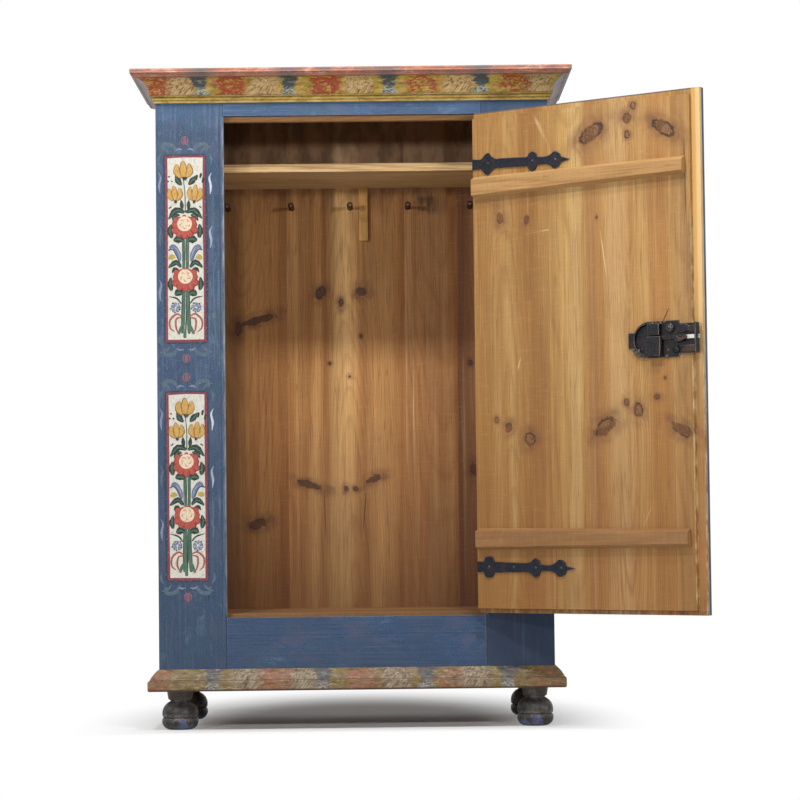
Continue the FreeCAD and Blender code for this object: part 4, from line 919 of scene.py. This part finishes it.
def hang(sheet, name, body):
    mesh = sheet["mesh"]
    mesh.normal_update()
    bmesh.ops.reverse_faces(mesh, faces=[f for f in mesh.faces if f.normal.dot(sheet["outward"]) < 0])
    used = sorted({f.material_index for f in mesh.faces})
    for face in mesh.faces:
        face.material_index = used.index(face.material_index)
    data = meshOf(name, mesh)
    for index in used:
        data.materials.append(paintPots[potOrder[index]])
    piece = newPiece(name, data)
    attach(piece, body)


panelLook = {
    "half": 48.0, "tall": 494.0, "border": 6.5, "shake": 0.9, "halo": 1.5,  # mm
    "stile": 0.453, "door": 0.155, "doorFace": 0.003,  # metres from the middle, and behind the frame's front
    "stretch": 1.7,  # the door's panels are wider
}
tulipPetals = [  # spine in shares of the flower's width and height, and width
    ([(-0.10, -0.46), (-0.36, -0.12), (-0.33, 0.36)], 0.36),
    ([(0.10, -0.46), (0.36, -0.12), (0.33, 0.36)], 0.36),
    ([(0.0, -0.48), (0.0, 0.0), (0.0, 0.52)], 0.40),
]
# strokes of one half of a panel, mirrored for the other: paint, points in mm, widths, layer, and a vein for
# some leaves
stemStrokes = [
    ("stemGreen", [(5.5, 285), (5.0, 235), (4.5, 190)], [6.0, 6.0, 6.0], 1),
    ("leafDark", [(9.0, 285), (8.5, 235), (8.0, 190)], [1.8, 2.2, 1.8], 2),
    ("leafDark", [(1.8, 285), (1.6, 235), (1.4, 190)], [1.2, 1.6, 1.2], 2),
    ("stemGreen", [(5.0, 135), (5.5, 80), (9, 16)], [9, 10, 9], 1),
    ("leafDark", [(9.5, 132), (10.5, 85), (13, 30)], [1.6, 2.6, 2.0], 2),
    ("leafLight", [(4.2, 283), (4.8, 241.5), (4.2, 200)], [0.8, 1.8, 0.8], 3),
    ("leafLight", [(6.2, 130), (6.8, 95), (6.2, 60)], [0.8, 1.8, 0.8], 3),
    ("leafLight", [(2.6, 120), (3.2, 80), (2.6, 40)], [0.8, 1.8, 0.8], 3),
]
leafStrokes = [
    ("leafDark", [(9, 420), (19, 431), (28, 446)], [8, 17, 2], 2, "vein"),  # under the top tulip
    ("leafDark", [(9, 350), (9, 366), (11, 383)], [6, 11, 1], 2),
    ("leafDark", [(2, 345), (24, 351), (46, 328)], [9, 18, 5], 2, "vein"),  # arching over the rose
    ("leafDark", [(14, 338), (28, 336), (34, 322)], [6, 11, 4], 3, "vein"),
    ("leafDark", [(37, 362), (44, 357)], [3.5, 3], 2),
    ("leafDark", [(37, 277), (41, 296), (38, 313)], [10, 18, 6], 2, "vein"),
    ("leafDark", [(6, 267), (18, 273), (32, 269)], [11, 23, 10], 2, "vein"),
    ("slateBlue", [(15, 212), (21, 238), (33, 254), (43, 247)], [5, 11, 13, 7], 2),
    ("slateBlue", [(13, 214), (15, 232), (20, 246)], [4, 6, 2], 2),
    ("leafDark", [(18, 210), (26, 233), (36, 246), (47, 243)], [1.2, 2.4, 2.4, 3.6], 3),
    ("greyStroke", [(15, 220), (21, 240), (31, 252)], [0.8, 2.0, 1.0], 3),
    ("budYellow", [(27, 222), (36, 225), (46, 220)], [3, 15, 8], 2),
    ("leafDark", [(12, 196), (26, 210), (46, 196)], [8, 15, 6], 2, "vein"),
    ("leafDark", [(20, 190), (30, 192), (36, 182)], [6, 9, 3], 3),
    ("leafDark", [(38, 133), (42, 150), (39, 169)], [9, 16, 6], 2, "vein"),
    ("leafDark", [(8, 122), (18, 128), (30, 121)], [11, 22, 10], 2, "vein"),
    ("leafDark", [(12, 98), (24, 112), (46, 118)], [3.5, 4.5, 2.0], 2),
]
bowStrokes = [
    ("creamGround", [(28, 85), (28, 89)], [5, 5], 4),  # heart of the small flower
    ("bowRed", [(10, 62), (25, 70), (43, 54), (42, 32), (31, 22)], [3, 5, 5.5, 4.5, 2.5], 3),
    ("bowRed", [(12, 60), (26, 56), (27, 34), (20, 16)], [3, 5, 5, 2.5], 4),
    ("stemGreen", [(8, 44), (16, 26), (21, 14)], [6, 9, 6], 3),
]


def flowerPanel(sheet):
    hand = sheet["hand"]
    half, tall, edge, halo, shake = (panelLook[key] for key in ("half", "tall", "border", "halo", "shake"))

    def dab(paint, points, widths, layer, square=False):
        shaken = [(x + hand.uniform(-shake, shake), y + hand.uniform(-shake, shake)) for x, y in points]
        brush(sheet, paint, shaken, widths, layer, square)

    def mirrored(strokes, side):
        for paint, points, widths, layer, *vein in strokes:
            points = [(side * x, y) for x, y in points]
            dab(paint, points, widths, layer)
            if vein:
                dab("leafLight", points, [w * 0.24 for w in widths], layer + 1)

    def tulip(x, y, wide, high, tilt):
        c, s = math.cos(math.radians(tilt)), math.sin(math.radians(tilt))

        def turn(points):
            return [(x + px * wide * c - py * high * s, y + px * wide * s + py * high * c) for px,
                    py in points]

        for k, (spine, share) in enumerate(tulipPetals):
            fat = wide * share
            inner = [(px * 0.98, py * 0.93) for px, py in spine]
            dab("petalOrange", turn(spine), [fat * 0.6, fat * 1.12, fat * 0.55], 3 + 2 * k)
            dab("petalYellow", turn(inner), [fat * 0.45, fat * 0.86, fat * 0.4], 4 + 2 * k)

    def rose(x, y, wide):
        rim = wide * 0.29
        for k in range(9):
            angle = math.radians(155 + k * 28.75)
            root = around(x, y, rim * 0.6, angle)
            tip = around(x, y, wide * (0.50 + 0.10 * (math.sin(angle) < -0.5)), angle)
            short = [a * 0.06 + b * 0.94 for a, b in zip(root, tip)]
            dab("roseDeep", [root, tip], [wide * 0.26, wide * 0.31], 3)
            dab("roseRed", [root, short], [wide * 0.16, wide * 0.22], 4 + k % 2)
        for k in range(3):
            angle = math.radians(50 + k * 40)
            spine = [around(x, y, rim * 0.7, angle), around(x, y, wide * 0.36, angle)]
            dab("roseRed", spine, [wide * 0.14, wide * 0.18], 3)
        dab("roseCream", [(x, y - rim), (x, y + rim)], [rim * 2, rim * 2], 7)
        for k in range(5):
            angle = math.radians(k * 72 + 20)
            turns = ((0.3, 0.0), (0.66, 0.5), (0.62, 1.1))
            curl = [around(x, y, rim * share, angle + turn) for share, turn in turns]
            dab("rosePink", curl, [0.8, 3.2, 0.8], 8)

    for side in (-1, 1):  # the blue was laid darker where the panel was marked out
        x, y = side * (half + edge + halo), tall / 2 + side * (tall / 2 + edge + halo)
        dab("panelHalo", [(x, -edge - 3), (x, tall * 0.5), (x, tall + edge + 3)], [7, 10, 7], 0)
        dab("panelHalo", [(-half - edge, y), (0, y), (half + edge, y)], [5, 6, 5], 0)
    spine = [(0, -2), (0, tall * 0.33), (0, tall * 0.66), (0, tall + 2)]
    dab("creamGround", spine, [2 * half + 3] * 4, 0, True)
    for side in (-1, 1):
        x = side * (half + edge / 2)
        spine = [(x, -edge), (x, tall * 0.35), (x, tall * 0.7), (x, tall + edge)]
        dab("borderRed", spine, [edge, edge * 0.8, edge * 1.1, edge], 1)
    for y, widths in ((-edge / 2, (1.0, 1.1, 1.0)), (tall + edge / 2, (1.0, 0.7, 0.9))):
        dab("borderRed", [(-half - edge, y), (0, y), (half + edge, y)], [edge * w for w in widths], 1)

    # stems first, then leaves, then flowers
    dab("stemGreen", [(-5, 440), (-1, 400), (0, 345)], [2.2, 3.0, 3.4], 1)
    for side in (-1, 1):
        mirrored(stemStrokes, side)
    dab("leafDark", [(0, 132), (1, 70), (-1, 8)], [1.2, 2.8, 4.0], 2)
    dab("stemGreen", [(-3, 30), (-4, 4)], [7, 9], 3)
    for side in (-1, 1):
        mirrored(leafStrokes, side)
        x, y = side * 28, 87
        for k in range(5):  # small grey blue flower
            angle = math.radians(90 + 72 * k)
            dab("slateBlue", [around(x, y, 3, angle), around(x, y, 14, angle)], [6, 12], 2)
            dab("leafDark", [around(x, y, 11, angle + 0.5), around(x, y, 15, angle + 0.6)], [3.5, 5.0], 3)
            dab("greyStroke", [around(x, y, 6, angle), around(x, y, 12, angle + 0.2)], [1.5, 3.5], 4)
        mirrored(bowStrokes, side)
    for x, y, size in ((-43, 443, 6), (-46, 430, 5), (-36, 430, 6)):
        dab("leafDark", [(x, y - 2), (x, y + 2)], [size, size], 2)
    for x, y in ((31, 440), (42, 446), (49, 433)):
        dab("leafDark", [(x - 1, y - 7), (x + 2, y + 7)], [5, 7], 2)
    dab("leafDark", [(-8, 441), (0, 437), (4, 442)], [6, 9, 6], 9)
    tulip(-5, 461, 49, 47, 0)
    tulip(-28, 397, 40, 42, 6)
    tulip(27, 398, 41, 46, -5)
    dab("leafDark", [(-30, 376), (-22, 374)], [7, 8], 10)
    dab("leafDark", [(20, 374), (28, 375)], [8, 7], 10)
    rose(-2, 314, 69)
    rose(-1, 171, 69)


# pale scrolls beside the panels, from the top down: share of the height, and the paint on either side
besideScrolls = [(0.80, "lilacStroke", "chalkStroke"), (0.50, "mossStroke", "greyStroke"),
                 (0.21, "lilacStroke", "mossStroke")]
sprigStrokes = [  # beyond the ends of a panel: paint, mm aside and onward, widths, layer
    ("mossStroke", [(20, 4), (34, 24), (56, 26), (62, 8)], [3, 11, 11, 3], 1),
    ("mossStroke", [(44, 2), (50, 12), (70, 22)], [3, 9, 3], 2),
    ("mossStroke", [(64, 2), (72, -12), (70, -30)], [2, 8, 2], 1),
    ("lilacStroke", [(6, 12), (16, 14), (28, 8)], [2, 5, 1.5], 1),
]


def stileOrnament(sheet, tall):
    hand = sheet["hand"]
    for share, *strokes in besideScrolls:
        for side, paint in zip((-1, 1), strokes):
            y = tall * share + hand.uniform(-8, 8)
            spine = [(side * 72, y + 58), (side * 66, y + 44), (side * 70, y + 22), (side * 68, y)]
            brush(sheet, paint, spine, [1.5, 5.5, 6.5, 2.0], 1)
    for sign, base in ((1, tall + 10), (-1, -14)):
        for side in (-1, 1):
            for paint, points, widths, layer in sprigStrokes:
                brush(sheet, paint, [(side * x, base + sign * y) for x, y in points], widths, layer)
        brush(sheet, "faintRed", [(0, base + sign * 26), (0, base + sign * 50)], [10, 7], 1)
        for side in (-1, 1):
            spine = [(side * x, base + sign * y) for x, y in ((4, 24), (9, 36), (5, 48))]
            brush(sheet, "faintRed", spine, [2, 4.5, 1.5], 1)


def stilePlace(side, foot):
    return lambda u, v, h: Vector((side * (panelLook["stile"] - u / 1000), -h, foot + v / 1000))


def doorPlace(column, foot, size):
    middle, wide = column * panelLook["door"], size * panelLook["stretch"]
    face = panelLook["doorFace"]
    return lambda u, v, h: openTurn @ Vector((middle + u * wide / 1000, face - h, foot + v * size / 1000))


panelPlaces = {"upper": 1.051, "lower": 0.408}  # height of each panel's foot on the stiles
for side, name in ((-1, "left"), (1, "right")):
    for k, (level, foot) in enumerate(panelPlaces.items()):
        sheet = newSheet(stilePlace(side, foot), 10 * k + side, (0, -1, 0))
        flowerPanel(sheet)
        stileOrnament(sheet, panelLook["tall"])
        hang(sheet, "flower_panel_" + name + "_" + level, "case")
# the street side of the door, out of the photo's sight: height of the foot, and size
doorPanels = {"upper": (0.985, 1.12), "lower": (0.375, 1.02)}
doorOutward = openTurn.to_3x3() @ Vector((0, -1, 0))
for k, (level, (foot, size)) in enumerate(doorPanels.items()):
    for column in (-1, 1):
        sheet = newSheet(doorPlace(column, foot, size), 50 + 2 * k + column, doorOutward)
        flowerPanel(sheet)
        hang(sheet, "flower_panel_door_" + level + ("_near" if column > 0 else "_far"), "door")
print("flowers painted")

# scrolls drawn over the marbling, and scratches on the plinth: each point is dropped square onto the face
scrollLook = {
    "cornice_front": {"foot": 1713.2, "rise": 44.0, "scrolls": (-326, -70, 196, 443), "scratches": 0},
    "plinth_front": {"foot": 107.0, "rise": 54.0, "scrolls": (), "scratches": 70, "span": (-545, 500)},
}
scrollShapes = [  # millimetres along and share of the height, then widths
    ([(-33, 0.66), (-18, 0.9), (4, 0.86), (16, 0.66)], [1.5, 5.0, 5.5, 1.5]),
    ([(6, 0.52), (20, 0.8), (33, 0.62), (30, 0.3), (16, 0.22)], [1.5, 4.0, 5.5, 4.0, 1.5]),
    ([(-35, 0.26), (-24, 0.48), (-10, 0.4), (-12, 0.16)], [1.5, 3.5, 5.0, 1.5]),
]


def scrollsOn(name):
    look = scrollLook[name]
    data = nodes[name].data
    skin = BVHTree.FromPolygons([v.co for v in data.vertices], [p.vertices for p in data.polygons])

    def place(u, v, h):
        before = Vector((u / 1000, -1.0, (look["foot"] + v) / 1000))
        hit, normal, _, _ = skin.ray_cast(before, Vector((0, 1, 0)))
        return hit + normal * (h if normal.y < 0 else -h)

    sheet = newSheet(place, 71, (0, -1, 0))
    draw, rise = sheet["hand"].uniform, look["rise"]
    for middle in look["scrolls"]:
        for points, widths in scrollShapes:
            spine = [(middle + x + draw(-4, 4), y * rise + draw(-2.5, 2.5)) for x, y in points]
            brush(sheet, "sealRed", spine, [w * draw(0.7, 1.2) for w in widths], 1)
    for k in range(look["scratches"]):
        u, v, long = draw(*look["span"]), draw(4, rise - 4), draw(8, 34)
        spine = [(u, v), (u + long / 2, v + draw(-0.6, 0.6)), (u + long, v)]
        brush(sheet, "dustPale", spine, [0.4, draw(0.8, 1.8), 0.4], 1)
    hang(sheet, "brushwork_" + name, "case")


for name in scrollLook:
    scrollsOn(name)
print("mouldings drawn on")


def seenBy():  # by the camera, in a reflection or through glass
    seen = put("LightPath").outputs
    return most(most(seen["Is Camera Ray"], seen["Is Glossy Ray"]), seen["Is Transmission Ray"])


# floor, lamps, camera
stageLook = {
    "floor": "f1f0ee", "scuffed": "ebeae8", "reach": 3.4, "scuffs": 2.5,  # metres, and how many to a metre
    "behind": (0.0, -0.25, 0.0), "oval": (1.1, 0.62, 0.0),  # the patch of floor that shows shadows
    "edge": (0.34, 0.9), "front": (0.03, -0.17), "fill": 0.13,
}
floorMesh = bmesh.new()
bmesh.ops.create_circle(floorMesh, cap_ends=True, segments=96, radius=stageLook["reach"])
floor = newPiece("studio_floor", meshOf("studio_floor", floorMesh))
material = newMaterial("matteStudioFloor")
scuffs = noiseAt(put("TexCoord").outputs["Object"], stageLook["scuffs"], 3.0)
colour = cover(stageLook["floor"], stageLook["scuffed"], ease(scuffs, 0.3, 0.7, 0.5))
ground = put("BsdfPrincipled", Base_Color=colour, Roughness=0.7, Specular_IOR_Level=0.2)
place = put("TexCoord").outputs["Object"]
squeezed = drawOut(shift(place, stageLook["behind"]), stageLook["oval"])
away = ease(lengthOf(squeezed), *stageLook["edge"], interpolation_type="SMOOTHSTEP")
y = put("SeparateXYZ", place).outputs["Y"]
before = ease(y, *stageLook["front"], interpolation_type="SMOOTHSTEP")
away = most(away, before)
# far from the cupboard the floor runs into the white paper
paper = put("Emission", Color="ffffff", Strength=1.0)
put("OutputMaterial", put("MixShader", times(away, seenBy()), ground, paper))
floor.data.materials.append(material)

# place, aim, size, watts: two high boxes for the shade under the shelf, two at shoulder height
lampLook = {
    "softbox_high_left": ((-0.85, -1.75, 3.95), (0.0, 0.1, 1.0), 0.3, 62.0),
    "softbox_high_right": ((0.6, -1.75, 3.95), (0.0, 0.1, 1.0), 0.3, 54.0),
    "softbox_low_left": ((-2.4, -3.2, 1.68), (0.0, 0.1, 1.1), 0.18, 42.0),
    "softbox_low_right": ((2.4, -3.2, 1.68), (0.0, 0.1, 1.1), 0.18, 37.0),
}
for name, (spot, target, size, watts) in lampLook.items():
    lamp = bpy.data.lights.new(name, "AREA")
    lamp.shape, lamp.size, lamp.energy = "SQUARE", size, watts
    holder = newPiece(name, lamp)
    holder.location = spot
    holder.rotation_euler = (Vector(target) - Vector(spot)).to_track_quat("-Z", "Y").to_euler()

bpy.context.scene.world = begin(bpy.data.worlds.new("whiteStudio"))
dim = put("Background", Color="ffffff", Strength=stageLook["fill"])
white = put("Background", Color="ffffff", Strength=1.0)
put("OutputWorld", put("MixShader", seenBy(), dim, white))

cameraLook = {"at": (0.084, -7.015, 0.553), "yaw": -0.32, "pitch": 2.68, "roll": -0.65, "lens": 117.0}
yaw, pitch, roll = (math.radians(cameraLook[k]) for k in ("yaw", "pitch", "roll"))
right = Vector((math.cos(yaw), math.sin(yaw), 0))
ahead = Vector((-math.sin(yaw) * math.cos(pitch), math.cos(yaw) * math.cos(pitch), math.sin(pitch)))
upward = right.cross(ahead)
c, s = math.cos(roll), math.sin(roll)
right, upward = c * right + s * upward, c * upward - s * right
camera = bpy.data.cameras.new("photo_camera")
camera.lens, camera.sensor_width = cameraLook["lens"], 36.0
holder = newPiece("photo_camera", camera)
turn = Matrix((right, upward, -ahead)).transposed().to_4x4()
holder.matrix_world = Matrix.Translation(Vector(cameraLook["at"])) @ turn
bpy.context.scene.camera = holder
bpy.context.scene.view_settings.view_transform = "Standard"
print("stage set")
